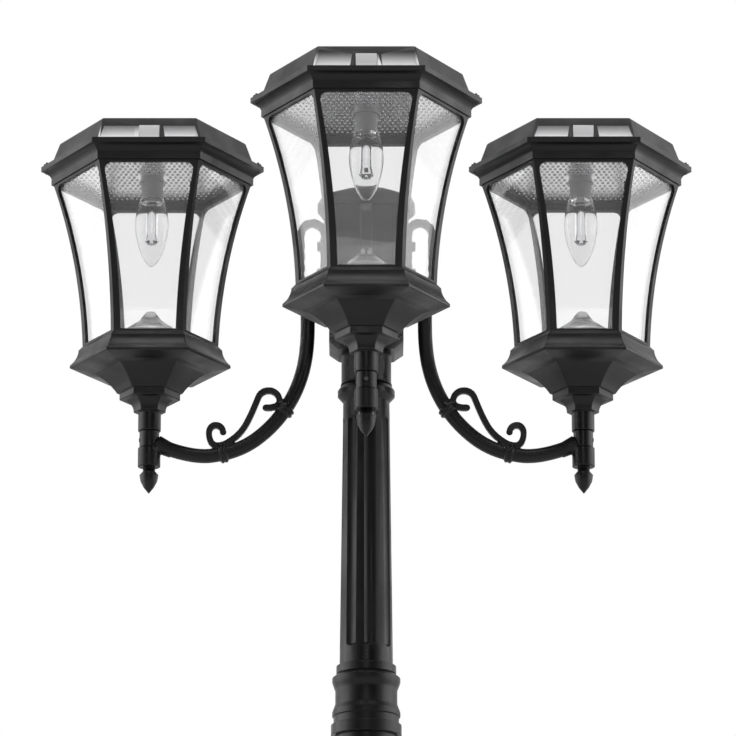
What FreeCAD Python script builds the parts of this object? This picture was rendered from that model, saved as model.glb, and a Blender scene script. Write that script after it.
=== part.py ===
"""Triple head lamp post: three hexagonal solar lanterns on scrolled arms round a fluted post.

Millimetres, +Z up, origin on the ground at the centre of the base.  The three arms leave the hub to
the left (-X), to the right (+X) and to the front (-Y).  Every lantern faces the front, with two of
its six flats square to the Y axis.  Hexagons and octagons are sized by half their width across flats.
"""
import FreeCAD, Part
import math
import os
import re

import Sketcher

from FreeCAD import Placement, Rotation, Vector

LANTERN_SIDES = 6
PLINTH_SIDES = 8
ARM_TURNS = {"left": 180, "right": 0, "front": 270}
EPSILON = 1e-6

SIZES = {
    # Base casting: an octagonal bell with a round neck
    "base_flat": 140.0, "flange_height": 14.0, "flange_bevel": 8.0,
    "anchor_flat": 129.0, "anchor_hole": 6.5,
    "plinth_flat": 108.0, "plinth_height": 118.0, "plinth_foot": 116.0, "foot_height": 12.0,
    "cornice_flat": 114.0, "cornice_height": 16.0,
    "bell_height": 74.0, "bell_top_flat": 58.0, "bell_sag": 14.0,
    "base_wall": 6.0, "cavity_flat": 92.0, "cavity_height": 130.0,
    "neck_radius": 53.0, "neck_height": 86.0, "neck_ring": 60.0, "ring_height": 12.0,
    # Post: two fluted tubes with a turned collar between them
    "lower_length": 1314.0, "lower_foot_radius": 44.0, "lower_head_radius": 36.0, "tube_wall": 6.5,
    "socket_depth": 60.0, "collar_depth": 12.0,
    "upper_length": 352.5, "upper_foot_radius": 31.4, "upper_head_radius": 27.2,
    "flutes": 8, "flute_radius": 11.0, "flute_depth": 3.4, "flute_margin": 24.0, "flute_phase": 8.9,
    "collar_height": 83.0, "collar_ring_radius": 41.2, "collar_ring": 13.0,
    "spool_radius": 39.8, "spool_waist": 36.2, "spool_lip": 5.0, "collar_groove": 4.0, "groove_radius": 38.2,
    "collar_top_radius": 35.0, "collar_top": 9.5,
    "bead_radius": 33.8, "bead_height": 21.2, "bead_bulge": 5.0,
    "tenon_radius": 22.0, "tenon_height": 30.0,
    # Hub: a square cast column on the post's tenon, with a domed cap
    "sleeve_radius": 29.5, "sleeve_height": 37.3, "hub_half": 44.0, "hub_chamfer": 12.0,
    "hub_taper": 9.0, "hub_foot_inset": 11.0, "hub_height": 174.0, "hub_wall": 8.0, "hub_floor": 26.0,
    "pad_thickness": 2.0, "pad_half_width": 11.0,
    "cap_ring_radius": 58.4, "cap_ring_height": 17.0, "cap_seat_radius": 55.4, "cap_rise": 12.7,
    "cap_wall": 3.0,
    "cap_screw_radius": 3.4, "cap_screw_length": 6.4, "cap_screw_offset": 25.0,
    # Arms: seen from the side, across from the pad face or from the stem axis, up from the socket foot
    "arm_reach": 256.4, "arm_drop": 137.0,
    "loop_top": 305.0, "loop_foot": 184.0, "loop_width": 36.2, "loop_bar": 8.5, "loop_depth": 15.0,
    "bar_chamfer": 2.0, "bolt_upper": 271.5, "bolt_lower": 238.5, "bolt_radius": 3.0,
    "bolt_head": 5.0, "bolt_head_height": 4.0,
    "tube_radius": 8.5, "flare_radius": 10.6,
    "head_across": 24.0, "head_up": 196.0, "head_turn": -92.0,
    "elbow_across": 25.8, "elbow_up": 137.0, "elbow_turn": -83.0,
    "near_across": 50.6, "near_up": 69.8, "near_turn": -56.0,
    "far_across": 87.5, "far_up": 16.6, "far_turn": -12.0,
    "low_across": 65.9, "low_up": 13.6, "low_turn": 0.0,
    "rise_across": 34.4, "rise_up": 18.6, "rise_turn": 16.0,
    "stem_across": 9.0, "stem_up": 28.5, "stem_turn": 26.0,
    "collar_bead": 11.3, "collar_groove": 9.7, "collar_band": 9.0,
    # Scroll on the arm, measured from the collar that each stretch springs from
    "scroll_width": 7.2, "scroll_depth": 8.0,
    "tongue_x": 22.5, "tongue_z": 3.0, "tongue_turn": 186.0,
    "hook_x": 6.2, "hook_z": 11.3, "hook_turn": 90.0,
    "crest_x": 19.1, "crest_z": 23.9, "crest_turn": 0.0,
    "spine_x": 37.8, "spine_z": -0.9, "spine_turn": -68.0,
    "dip_x": -14.9, "dip_z": 20.6, "dip_turn": -42.0,
    "trough_x": 7.1, "trough_z": 9.6, "trough_turn": 0.0,
    "outer_x": 17.1, "outer_z": 24.9, "outer_turn": 90.0,
    "roll_x": 9.2, "roll_z": 34.5, "roll_turn": 180.0,
    "curl_x": 0.4, "curl_z": 26.4, "curl_turn": 266.0,
    # Socket at the arm's end and the finial below it
    "socket_height": 43.4, "socket_radius": 11.7, "socket_foot_radius": 13.35,
    "socket_foot_height": 23.0, "socket_floor": 18.0,
    "finial_neck_radius": 6.9, "finial_neck": 5.0, "finial_radius": 10.7, "finial_shoulder": 4.5,
    "finial_length": 31.9, "finial_belly": 9.4, "finial_tang_radius": 4.0, "finial_tang": 9.0,
    "set_screw_radius": 2.5, "set_screw_height": 33.0,
    # Lantern cup
    "stem_radius": 13.5, "stem_height": 22.9, "spigot_radius": 8.0, "spigot_length": 24.0,
    "cup_foot_flat": 16.8, "cove_height": 15.3, "cove_flat": 25.3, "cove_sag": 2.6,
    "step_flat": 31.4, "step_height": 8.2, "bowl_foot_flat": 33.9, "bowl_flat": 63.7,
    "bowl_height": 27.2, "bowl_sag": 3.2, "eave_height": 4.0, "lip_flat": 83.0, "lip_height": 3.6,
    "band_height": 19.2, "band_flat": 74.2, "band_sag": 2.2, "cup_wall": 4.0,
    # Lantern cage and glazing
    "cage_foot_flat": 69.9, "ledge_height": 4.2, "cage_height": 205.2, "cage_flat": 102.4,
    "cage_sag": 6.5, "cage_wall": 4.0, "floor_height": 3.0, "rim_height": 4.0, "rim_inset": 2.4,
    "window_sill": 6.7, "window_head": 3.0, "leg_foot": 8.0, "leg_head": 7.0, "window_corner": 8.0,
    "pane_thickness": 3.0, "pane_corner_gap": 1.2, "glazing_gap": 0.3,
    "clip_width": 6.0, "clip_height": 11.0, "clip_thickness": 2.0, "clip_drop": 22.0,
    "clip_inset": 12.4,
    "crystal_radius": 48.0, "crystal_skirt": 4.0, "crystal_shoulder_radius": 34.0,
    "crystal_shoulder": 17.0, "crystal_waist_radius": 14.5, "crystal_waist": 31.0,
    "crystal_height": 43.0, "crystal_tip_radius": 5.6,
    # Roof casting
    "fascia_flat": 104.8, "fascia_height": 8.0, "crown_height": 9.0, "crown_sag": 1.8,
    "brim_flat": 115.6, "brim_height": 6.2, "fascia_wall": 4.3, "well_flat": 104.0,
    "ceiling_rise": 11.0, "deck_thickness": 3.0, "deck_hole": 30.0,
    "roof_screw_offset": 126.5, "roof_screw_radius": 2.0, "roof_screw_length": 9.0,
    "thumb_radius": 3.8, "thumb_height": 4.6, "thumb_flat_height": 3.0,
    # Solar cap
    "cap_foot_flat": 105.7, "cap_head_flat": 96.6, "cap_height": 30.1, "cap_side": 8.0,
    "cap_bevel": 1.6, "panel_flat": 88.0, "panel_thickness": 3.0, "panel_ledge": 6.0,
    "panel_gap": 0.3, "ledge_thickness": 2.5,
    "scoop_depth": 6.0, "scoop_sill": 4.2, "scoop_height": 24.0, "scoop_inner_foot": 18.6,
    "scoop_inner_head": 15.6, "scoop_outer_foot": 58.0, "scoop_outer_head": 52.0,
    "sensor_half_width": 12.0, "sensor_height": 18.6, "sensor_depth": 10.0, "sensor_inset": 2.4,
    # Ceiling reflector, lamp and battery
    "reflector_thickness": 1.0, "reflector_gap": 0.8,
    "holder_flange_radius": 16.0, "holder_flange": 8.0, "holder_radius": 13.0, "holder_length": 28.6,
    "holder_bore": 10.6, "holder_bore_depth": 14.0, "holder_spigot": 8.0,
    "bulb_cap_radius": 10.3, "bulb_cap_height": 13.0, "bulb_collar": 4.0,
    "guide_radius": 6.6, "guide_length": 51.0, "guide_crown_radius": 8.3, "guide_crown": 12.0,
    "bulb_neck_radius": 14.6, "bulb_radius": 20.2, "bulb_shoulder": 31.0, "bulb_length": 83.0,
    "bulb_wall": 1.2,
    "battery_length": 62.0, "battery_width": 34.0, "battery_height": 17.0, "battery_offset": 50.0,
    # Clearances
    "swivel_fit": 0.05, "fit": 0.1, "seat_gap": 0.3, "overlap": 0.5,
}

# Levels above the ground
SHAFT_FOOT = "(flange_height + foot_height + plinth_height + cornice_height + bell_height + neck_height"\
    " - socket_depth)"
COLLAR_FOOT = f"({SHAFT_FOOT} + lower_length - collar_depth)"
UPPER_FOOT = f"({COLLAR_FOOT} + collar_height - collar_depth)"
BEAD_FOOT = f"({UPPER_FOOT} + upper_length - bead_height)"
SLEEVE_FOOT = f"({BEAD_FOOT} + bead_height)"
HUB_FOOT = f"({SLEEVE_FOOT} + sleeve_height)"
SOCKET_FOOT = f"({HUB_FOOT} - arm_drop)"

# Levels above the foot of an arm's socket
STEM_TOP = "(socket_height + stem_height)"
STEP_FOOT = f"({STEM_TOP} + cove_height)"
BOWL_FOOT = f"({STEP_FOOT} + step_height)"
EAVE_FOOT = f"({BOWL_FOOT} + bowl_height)"
LIP_FOOT = f"({EAVE_FOOT} + eave_height)"
BAND_FOOT = f"({LIP_FOOT} + lip_height)"
CUP_TOP = f"({BAND_FOOT} + band_height)"
FLOOR_TOP = f"({CUP_TOP} + floor_height)"
CAGE_TOP = f"({CUP_TOP} + cage_height)"
CEILING = f"({CAGE_TOP} + ceiling_rise)"
BRIM_FOOT = f"({CAGE_TOP} + fascia_height + crown_height)"
BRIM_TOP = f"({BRIM_FOOT} + brim_height)"
CAP_TOP = f"({BRIM_TOP} + cap_height)"
LAMP_TOP = f"({CEILING} - reflector_thickness)"
LAMP_FOOT = f"({LAMP_TOP} - holder_length)"

doc = FreeCAD.newDocument("lamp_post")
sheet = doc.addObject("Spreadsheet::Sheet", "Sizes")
sub_parts = []


def fill_sheet():
    """Write every driving dimension into the sheet under its alias."""
    for row, (alias, size) in enumerate(SIZES.items(), start=1):
        sheet.set(f"A{row}", alias)
        sheet.set(f"B{row}", str(size))
        sheet.setAlias(f"B{row}", alias)
    doc.recompute()


def tied(text):
    """An expression with each size name pointed at the sheet."""
    def point(word):
        return f"Sizes.{word[0]}" if word[0] in SIZES else word[0]

    return re.sub(r"[a-z_]+", point, str(text))


def value(text):
    """The present number of an expression of sizes."""
    return float(sheet.evalExpression(str(text)))


def tie(thing, **expressions):
    """Bind properties of an object to expressions of sizes."""
    for name, text in expressions.items():
        thing.setExpression(name, tied(text))


def sub_part(thing, name, across="0", depth="0", up="0", turn=0):
    """Label an object as a node and put it in its place, turned about the vertical."""
    place = Vector(value(across), value(depth), value(up))
    thing.Placement = Placement(place, Rotation(Vector(0, 0, 1), turn))
    if thing.TypeId != "Part::Feature":
        for axis, text in zip("xyz", (across, depth, up)):
            thing.setExpression(f"Placement.Base.{axis}", tied(text))
    thing.Label = name
    sub_parts.append(thing)


# Sketches ----------------------------------------------------------------------------------------

def origin_part(body, role):
    """One of the planes or axes of a body's own origin."""
    return next(item for item in body.Origin.OriginFeatures if item.Role == role)


def new_sketch(body, name, role, offset=None):
    """An empty sketch on an origin plane, moved along its normal by an expression."""
    sketch = body.newObject("Sketcher::SketchObject", name)
    sketch.AttachmentSupport = [(origin_part(body, role), "")]
    sketch.MapMode = "FlatFace"
    if offset:
        sketch.setExpression("AttachmentOffset.Base.z", tied(offset))
    return sketch


def outline(sketch, corners):
    """Draw a closed outline whose corners are (across, up) or (across, up, sag) expressions.

    The edge that leads to a corner with a sag is an arc that stands that far to the left of its chord.
    """
    points = [Vector(value(corner[0]), value(corner[1]), 0) for corner in corners]
    first = sketch.GeometryCount
    edges, rules, sizes, starts, ends = [], [], [], [], []
    for index, corner in enumerate(corners):
        previous = points[index - 1]
        point = points[index]
        sag = value(corner[2]) if len(corner) > 2 else 0
        chord = point - previous
        middle = (point + previous) / 2 + Vector(-chord.y, chord.x, 0) * (sag / chord.Length)
        if sag > 0:
            edges.append(Part.Arc(point, middle, previous))
        elif sag < 0:
            edges.append(Part.Arc(previous, middle, point))
        else:
            edges.append(Part.LineSegment(previous, point))
        starts.append(2 if sag > 0 else 1)
        ends.append(1 if sag > 0 else 2)
    for index, corner in enumerate(corners):
        edge = first + index
        after = (index + 1) % len(corners)
        rules.append(Sketcher.Constraint("Coincident", edge, ends[index], first + after, starts[after]))
        sizes.append(None)
        rules.append(Sketcher.Constraint("DistanceX", -1, 1, edge, ends[index], points[index].x))
        sizes.append(corner[0])
        rules.append(Sketcher.Constraint("DistanceY", -1, 1, edge, ends[index], points[index].y))
        sizes.append(corner[1])
        if len(corner) > 2:
            before = corners[index - 1]
            chord_squared = f"(({corner[0]}) - ({before[0]}))^2 + (({corner[1]}) - ({before[1]}))^2"
            radius = f"({chord_squared}) / (8 * abs({corner[2]})) + abs({corner[2]}) / 2"
            rules.append(Sketcher.Constraint("Radius", edge, value(radius)))
            sizes.append(radius)
    sketch.addGeometry(edges, False)
    start = sketch.ConstraintCount
    sketch.addConstraint(rules)
    for index, size in enumerate(sizes):
        if size is not None and re.search("[a-z]", str(size)):
            sketch.setExpression(f"Constraints[{start + index}]", tied(size))
    return sketch


def ring(sketch, radius, across="0", up="0"):
    """Draw a circle tied to a radius and a centre."""
    centre = Vector(value(across), value(up), 0)
    edge = sketch.addGeometry(Part.Circle(centre, Vector(0, 0, 1), value(radius)))
    for kind, text in (("Radius", radius), ("DistanceX", across), ("DistanceY", up)):
        place = (edge,) if kind == "Radius" else (-1, 1, edge, 3)
        index = sketch.addConstraint(Sketcher.Constraint(kind, *place, value(text)))
        if re.search("[a-z]", text):
            sketch.setExpression(f"Constraints[{index}]", tied(text))
    return sketch


def polygon(sides, flat, turn=0):
    """Corners of a regular polygon with half its width across flats."""
    corner = f"({flat}) / cos({180 / sides})"
    angles = [turn + 360 * index / sides for index in range(sides)]
    return [(f"{corner} * cos({angle})", f"{corner} * sin({angle})") for angle in angles]


# Features ----------------------------------------------------------------------------------------

def new_body(name):
    """A PartDesign body that may hold several solids."""
    body = doc.addObject("PartDesign::Body", name)
    body.AllowCompound = True
    return body


def turned(body, name, corners):
    """Revolve an outline (radius, up) about the body's vertical axis."""
    sketch = outline(new_sketch(body, f"{name}_profile", "XZ_Plane"), corners)
    feature = body.newObject("PartDesign::Revolution", name)
    feature.Profile = sketch
    feature.ReferenceAxis = (sketch, ["V_Axis"])
    feature.Angle = 360
    return feature


def mitred(body, name, sides, turn, flat, corners):
    """Carry an outline (flat, up) round a polygon, with mitred corners."""
    path = outline(new_sketch(body, f"{name}_path", "XY_Plane"), polygon(sides, flat, turn))
    profile = outline(new_sketch(body, f"{name}_profile", "YZ_Plane"), corners)
    feature = body.newObject("PartDesign::AdditivePipe", name)
    feature.Profile = profile
    feature.Spine = (path, [])
    feature.Transition = "Right corner"
    return feature


def padded(body, name, sketch, length, reverse=False):
    """Pad a sketch by an expression."""
    feature = body.newObject("PartDesign::Pad", name)
    feature.Profile = sketch
    feature.Reversed = reverse
    tie(feature, Length=length)
    return feature


def pocketed(body, name, sketch, length, reverse=False, both=False):
    """Cut a sketch into the body by an expression."""
    feature = body.newObject("PartDesign::Pocket", name)
    feature.Profile = sketch
    feature.Reversed = reverse
    feature.Midplane = both
    tie(feature, Length=length)
    return feature


def round_and_round(body, name, features, count):
    """Repeat features about the body's vertical axis."""
    doc.recompute()
    pattern = body.newObject("PartDesign::PolarPattern", name)
    pattern.Originals = features
    pattern.Axis = (origin_part(body, "Z_Axis"), [""])
    pattern.Angle = 360
    tie(pattern, Occurrences=count)
    body.Tip = pattern
    return pattern


# Post --------------------------------------------------------------------------------------------

def base_casting():
    """Octagonal flange, plinth and bell in one hollow casting, with a round neck for the shaft."""
    body = new_body("base_casting")
    plinth_foot = "flange_height + foot_height"
    cornice = f"{plinth_foot} + plinth_height"
    bell = f"{cornice} + cornice_height"
    bell_top = f"{bell} + bell_height"
    mitred(body, "bell", PLINTH_SIDES, 22.5, "plinth_flat", [
        ("cavity_flat", "0"),
        ("base_flat", "0"),
        ("base_flat", "flange_height - flange_bevel / 2"),
        ("base_flat - flange_bevel", "flange_height"),
        ("plinth_foot", "flange_height"),
        ("plinth_flat", plinth_foot),
        ("plinth_flat", cornice),
        ("cornice_flat", f"{cornice} + cornice_height / 3"),
        ("cornice_flat", f"{cornice} + cornice_height * 2 / 3"),
        ("plinth_flat - base_wall", bell),
        ("bell_top_flat", bell_top, "bell_sag"),
        ("lower_foot_radius - base_wall", bell_top),
        ("lower_foot_radius - base_wall", f"{bell_top} - neck_height / 4"),
        ("cavity_flat", "cavity_height"),
    ])
    bore = "lower_foot_radius + fit"
    neck_top = f"{bell_top} + neck_height"
    turned(body, "neck", [
        ("lower_foot_radius - base_wall", f"{bell_top} - neck_height / 8"),
        ("neck_ring", f"{bell_top} - neck_height / 8"),
        ("neck_ring", f"{bell_top} + ring_height"),
        ("neck_radius", f"{bell_top} + ring_height * 1.5"),
        ("neck_radius", f"{neck_top} - ring_height * 1.5"),
        ("neck_radius + base_wall / 2", f"{neck_top} - ring_height"),
        ("neck_radius + base_wall / 2", f"{neck_top} - ring_height / 3"),
        (f"{bore} + base_wall / 4", neck_top),
        (bore, neck_top),
        (bore, SHAFT_FOOT),
        ("lower_foot_radius - base_wall", SHAFT_FOOT),
    ])
    hole = ring(new_sketch(body, "anchor_circle", "XY_Plane"), "anchor_hole",
                "anchor_flat * cos(45)", "anchor_flat * sin(45)")
    anchor = pocketed(body, "anchor", hole, "flange_height * 2", reverse=True)
    round_and_round(body, "anchors", [anchor], "4")
    sub_part(body, "base_casting")


def fluted_tube(name, foot_radius, head_radius, length, margin_foot, margin_head, up, extras=()):
    """Tapered tube with blind, round-ended flutes."""
    body = new_body(name)
    turned(body, "tube", [
        (f"{foot_radius} - tube_wall", "0"),
        (foot_radius, "0"),
        (head_radius, length),
        (f"{head_radius} - tube_wall", length),
    ])
    for extra in extras:
        extra(body)
    sink = "(flute_radius - flute_depth)"
    slope = f"(({head_radius}) - ({foot_radius})) / ({length})"
    foot, head = margin_foot, f"({length}) - ({margin_head})"
    inner_foot = f"{foot_radius} + ({slope}) * ({foot}) + {sink}"
    inner_head = f"{foot_radius} + ({slope}) * ({head}) + {sink}"
    sketch = new_sketch(body, "flute_profile", "XZ_Plane")
    outline(sketch, [
        (inner_foot, foot),
        (inner_head, head),
        (f"{inner_head} - flute_radius", f"{head} - flute_radius"),
        (f"{inner_foot} - flute_radius", f"{foot} + flute_radius"),
    ])
    doc.recompute()
    flute = body.newObject("PartDesign::Groove", "flute")
    flute.Profile = sketch
    flute.ReferenceAxis = (sketch, ["Edge2"])
    flute.Angle = 360
    round_and_round(body, "flutes", [flute], "flutes")
    sub_part(body, name, up=up, turn=value("flute_phase"))


def tenon(body):
    """Bead and tenon at the head of the upper shaft."""
    top = "upper_length"
    foot = f"{top} - bead_height"
    turned(body, "bead", [
        ("upper_head_radius - tube_wall", foot),
        ("upper_head_radius", foot),
        ("bead_radius", f"{foot} + bead_height * 0.35"),
        ("bead_radius", f"{foot} + bead_height * 0.65"),
        ("bead_radius - bead_bulge", top),
        ("tenon_radius", top),
        ("tenon_radius", f"{top} + tenon_height"),
        ("upper_head_radius - tube_wall", f"{top} + tenon_height"),
    ])


def shafts():
    """Lower and upper fluted shafts."""
    fluted_tube("lower_shaft", "lower_foot_radius", "lower_head_radius", "lower_length",
                "socket_depth + flute_margin", "collar_depth + flute_margin", SHAFT_FOOT)
    fluted_tube("upper_shaft", "upper_foot_radius", "upper_head_radius", "upper_length",
                "collar_depth + flute_margin / 2", "bead_height + flute_margin / 2", UPPER_FOOT, [tenon])


def mid_collar():
    """Turned collar that joins the two shafts, with a spool between its rings."""
    body = new_body("mid_collar")
    spool_foot = "collar_ring + collar_groove"
    spool_top = "collar_height - collar_top"
    turned(body, "collar", [
        ("upper_foot_radius - tube_wall", "collar_depth"),
        ("lower_head_radius + fit", "collar_depth"),
        ("lower_head_radius + fit", "0"),
        ("collar_ring_radius", "0"),
        ("collar_ring_radius", "collar_ring"),
        ("groove_radius", "collar_ring"),
        ("groove_radius", spool_foot),
        ("spool_radius", spool_foot),
        ("spool_radius", f"{spool_foot} + spool_lip"),
        ("spool_waist", f"{spool_foot} + spool_lip * 3"),
        ("spool_waist", f"{spool_top} - spool_lip * 4"),
        ("spool_radius", f"{spool_top} - spool_lip * 2"),
        ("spool_radius", f"{spool_top} - spool_lip"),
        ("upper_foot_radius + pad_thickness", spool_top),
        ("collar_top_radius", spool_top),
        ("collar_top_radius", "collar_height"),
        ("upper_foot_radius + fit", "collar_height"),
        ("upper_foot_radius + fit", "collar_height - collar_depth"),
        ("upper_foot_radius - tube_wall", "collar_height - collar_depth"),
    ])
    sub_part(body, "mid_collar", up=COLLAR_FOOT)


def chamfered_square(half, chamfer):
    """Corners of a square with its corners cut off."""
    near, far = f"({half}) - ({chamfer})", f"({half})"
    return [(far, f"-({near})"), (far, near), (near, far), (f"-({near})", far),
            (f"-{far}", near), (f"-{far}", f"-({near})"), (f"-({near})", f"-{far}"), (near, f"-{far}")]


def hub():
    """Square column with a tapered foot, a round sleeve below it and a flat pad for each arm."""
    body = new_body("hub")
    square = outline(new_sketch(body, "column_square", "XY_Plane", "sleeve_height + hub_taper"),
                     chamfered_square("hub_half", "hub_chamfer"))
    padded(body, "column", square, "hub_height - hub_taper")
    foot = padded(body, "foot", square, "hub_taper", reverse=True)
    tie(foot, TaperAngle="-atan(hub_foot_inset / hub_taper)")
    turned(body, "sleeve", [
        ("0", "tenon_height + seat_gap"),
        ("tenon_radius + fit", "tenon_height + seat_gap"),
        ("tenon_radius + fit", "0"),
        ("sleeve_radius + 1", "0"),
        ("sleeve_radius", "3"),
        ("sleeve_radius", "sleeve_height + 1"),
        ("0", "sleeve_height + 1"),
    ])
    room = outline(new_sketch(body, "room_square", "XY_Plane", "sleeve_height + hub_height"),
                   chamfered_square("hub_half - hub_wall", "hub_chamfer"))
    pocketed(body, "room", room, "hub_height - hub_floor")
    pad_foot = "sleeve_height - arm_drop + loop_foot + loop_width / 4"
    pad_top = "sleeve_height - arm_drop + loop_top - loop_width / 4"
    across = "hub_half + pad_thickness"
    pads = []
    for name, role, sign in (("left", "XZ_Plane", -1), ("right", "XZ_Plane", 1), ("front", "YZ_Plane", -1)):
        inner, outer = f"{sign} * (hub_half - 1)", f"{sign} * ({across})"
        plate = outline(new_sketch(body, f"{name}_pad", role), [
            (inner, pad_foot), (outer, pad_foot), (outer, pad_top), (inner, pad_top)])
        pad = padded(body, f"pad_{name}", plate, "2 * pad_half_width")
        pad.Midplane = True
        pads.append(pad)
    for name, role in (("cross", "YZ_Plane"), ("front", "XZ_Plane")):
        holes = new_sketch(body, f"{name}_bolt_circles", role)
        for height in ("bolt_upper", "bolt_lower"):
            ring(holes, "bolt_radius + fit", "0", f"sleeve_height - arm_drop + {height}")
        depth = "hub_half * 3" if name == "cross" else "hub_half + pad_thickness + 1"
        pocketed(body, f"{name}_bolt_holes", holes, depth, reverse=name == "front", both=name == "cross")
    sub_part(body, "hub", up=SLEEVE_FOOT)


def hub_cap():
    """Domed cap with a bulged ring, and the screw that holds it."""
    body = new_body("hub_cap")
    room = "cap_seat_radius - cap_wall * 2"
    sphere = "(cap_seat_radius^2 / cap_rise + cap_rise) / 2"
    dome = [(f"cap_seat_radius * {share}",
             f"cap_ring_height + cap_rise - {sphere} + sqrt(({sphere})^2 - (cap_seat_radius * {share})^2)")
            for share in (0.75, 0.45)]
    turned(body, "dome", [
        ("0", "cap_ring_height + cap_rise - cap_wall"),
        (room, "cap_ring_height - cap_wall"),
        (room, "0"),
        ("cap_seat_radius", "0"),
        ("cap_ring_radius", "cap_ring_height * 0.3"),
        ("cap_ring_radius", "cap_ring_height * 0.7"),
        ("cap_seat_radius", "cap_ring_height"),
        *dome,
        ("0", "cap_ring_height + cap_rise"),
    ])
    top = "cap_ring_height + cap_rise"
    seat = ring(new_sketch(body, "screw_circle", "XY_Plane", top), "cap_screw_radius + fit",
                "-cap_screw_offset")
    pocketed(body, "screw_seat", seat, "cap_screw_length")
    sub_part(body, "hub_cap", up=f"{HUB_FOOT} + hub_height")
    screw = new_body("hub_cap_screw")
    head = ring(new_sketch(screw, "head_circle", "XY_Plane"), "cap_screw_radius")
    padded(screw, "head", head, "cap_screw_length")
    sub_part(screw, "hub_cap_screw", across="-cap_screw_offset",
             up=f"{HUB_FOOT} + hub_height + {top} - cap_screw_length + seat_gap")


# Arms --------------------------------------------------------------------------------------------

def heading(turn):
    """Unit vector in the arm's plane, turned up from the outward direction."""
    return Vector(math.cos(math.radians(turn)), 0, math.sin(math.radians(turn)))


def tangent_arc(start, direction, end):
    """Arc that leaves a point in a given direction and ends at another."""
    chord = end - start
    lean = direction.x * chord.z - direction.z * chord.x
    if abs(lean) < EPSILON * chord.Length:
        return Part.LineSegment(start, end).toShape()
    angle = math.atan2(-lean, direction.dot(chord))
    left = Vector(-chord.z, 0, chord.x)
    return Part.Arc(start, (start + end) / 2 + left * (math.tan(angle / 2) / 2), end).toShape()


def smooth_path(stations):
    """Edges through stations (point, turn), two tangent arcs between each pair."""
    edges = []
    for (start, first), (end, last) in zip(stations, stations[1:]):
        leave, arrive, chord = heading(first), heading(last), end - start
        both = leave + arrive
        bend = 2 * (1 - leave.dot(arrive))
        along = chord.dot(both)
        if bend < EPSILON:
            reach = chord.Length ** 2 / (4 * chord.dot(arrive))
        else:
            reach = (math.sqrt(along ** 2 + bend * chord.Length ** 2) - along) / bend
        middle = (start + end + (leave - arrive) * reach) / 2
        first_arc = tangent_arc(start, leave, middle)
        edges += [first_arc, tangent_arc(middle, end_direction(first_arc), end)]
    return edges


def end_direction(edge):
    """Direction of travel at the end of an edge."""
    return edge.tangentAt(edge.LastParameter).normalize()


def round_bar(edges, radius):
    """Round bar along tangent edges."""
    start = edges[0]
    circle = Part.Circle(start.valueAt(start.FirstParameter), start.tangentAt(start.FirstParameter), radius)
    return Part.Wire(edges).makePipeShell([Part.Wire(circle.toShape())], True, False)


def flat_bar(edges, width, depth):
    """Flat bar along tangent edges, with its width in the arm's plane."""
    start = edges[0]
    point, along = start.valueAt(start.FirstParameter), start.tangentAt(start.FirstParameter)
    side = Vector(-along.z, 0, along.x)
    half, thick = width / 2, depth / 2
    corners = [(half, thick), (half, -thick), (-half, -thick), (-half, thick)]
    points = [point + side * across + Vector(0, deep, 0) for across, deep in corners]
    return Part.Wire(edges).makePipeShell([Part.makePolygon(points + points[:1])], True, False)


def station(name, across, up="0"):
    """Named point of the arm's path with its direction, measured from an anchor."""
    return Vector(value(across), 0, value(up)), value(f"{name}_turn")


def collar(place, direction):
    """Pair of beads round the tube."""
    groove, rise, half = value("collar_groove"), value("collar_bead"), value("collar_band") / 2
    edge = half * 0.7
    profile = [(0, -half), (groove, -half), (rise, -edge), (rise, edge - half), (groove, 0),
               (rise, half - edge), (rise, edge), (groove, half), (0, half)]
    points = [Vector(across, 0, up) for across, up in profile]
    solid = Part.Face(Part.makePolygon(points + points[:1])).revolve(Vector(), Vector(0, 0, 1), 360)
    solid.Placement = Placement(place, Rotation(Vector(0, 0, 1), direction))
    return solid


def mounting_loop():
    """Closed loop whose inner side is the flange that the two bolts hold to the hub."""
    face = value("hub_half + pad_thickness")
    width, bar, depth = value("loop_width"), value("loop_bar"), value("loop_depth")
    top, foot = value("loop_top"), value("loop_foot")
    middle = face + width / 2

    def stadium(radius):
        low, high = foot + width / 2, top - width / 2
        return Part.Wire([
            Part.LineSegment(Vector(middle - radius, 0, low), Vector(middle - radius, 0, high)).toShape(),
            Part.Arc(Vector(middle - radius, 0, high), Vector(middle, 0, high + radius),
                     Vector(middle + radius, 0, high)).toShape(),
            Part.LineSegment(Vector(middle + radius, 0, high), Vector(middle + radius, 0, low)).toShape(),
            Part.Arc(Vector(middle + radius, 0, low), Vector(middle, 0, low - radius),
                     Vector(middle - radius, 0, low)).toShape(),
        ])

    outer, inner = (Part.Face(stadium(radius)).extrude(Vector(0, depth, 0))
                    for radius in (width / 2, width / 2 - bar))
    solid = outer.cut(inner)
    solid.translate(Vector(0, -depth / 2, 0))
    flat_edges = [edge for edge in solid.Edges if abs(abs(edge.CenterOfMass.y) - depth / 2) < EPSILON]
    return solid.makeChamfer(value("bar_chamfer"), flat_edges)


def socket():
    """Stepped socket at the end of the arm."""
    profile = [
        (0, 0), (value("socket_foot_radius"), 0),
        (value("socket_foot_radius"), value("socket_foot_height")),
        (value("socket_radius"), value("socket_foot_height")),
        (value("socket_radius"), value("socket_height")), (0, value("socket_height")),
    ]
    points = [Vector(across, 0, up) for across, up in profile]
    solid = Part.Face(Part.makePolygon(points + points[:1])).revolve(Vector(), Vector(0, 0, 1), 360)
    solid.translate(Vector(value("arm_reach"), 0, 0))
    return solid


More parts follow.
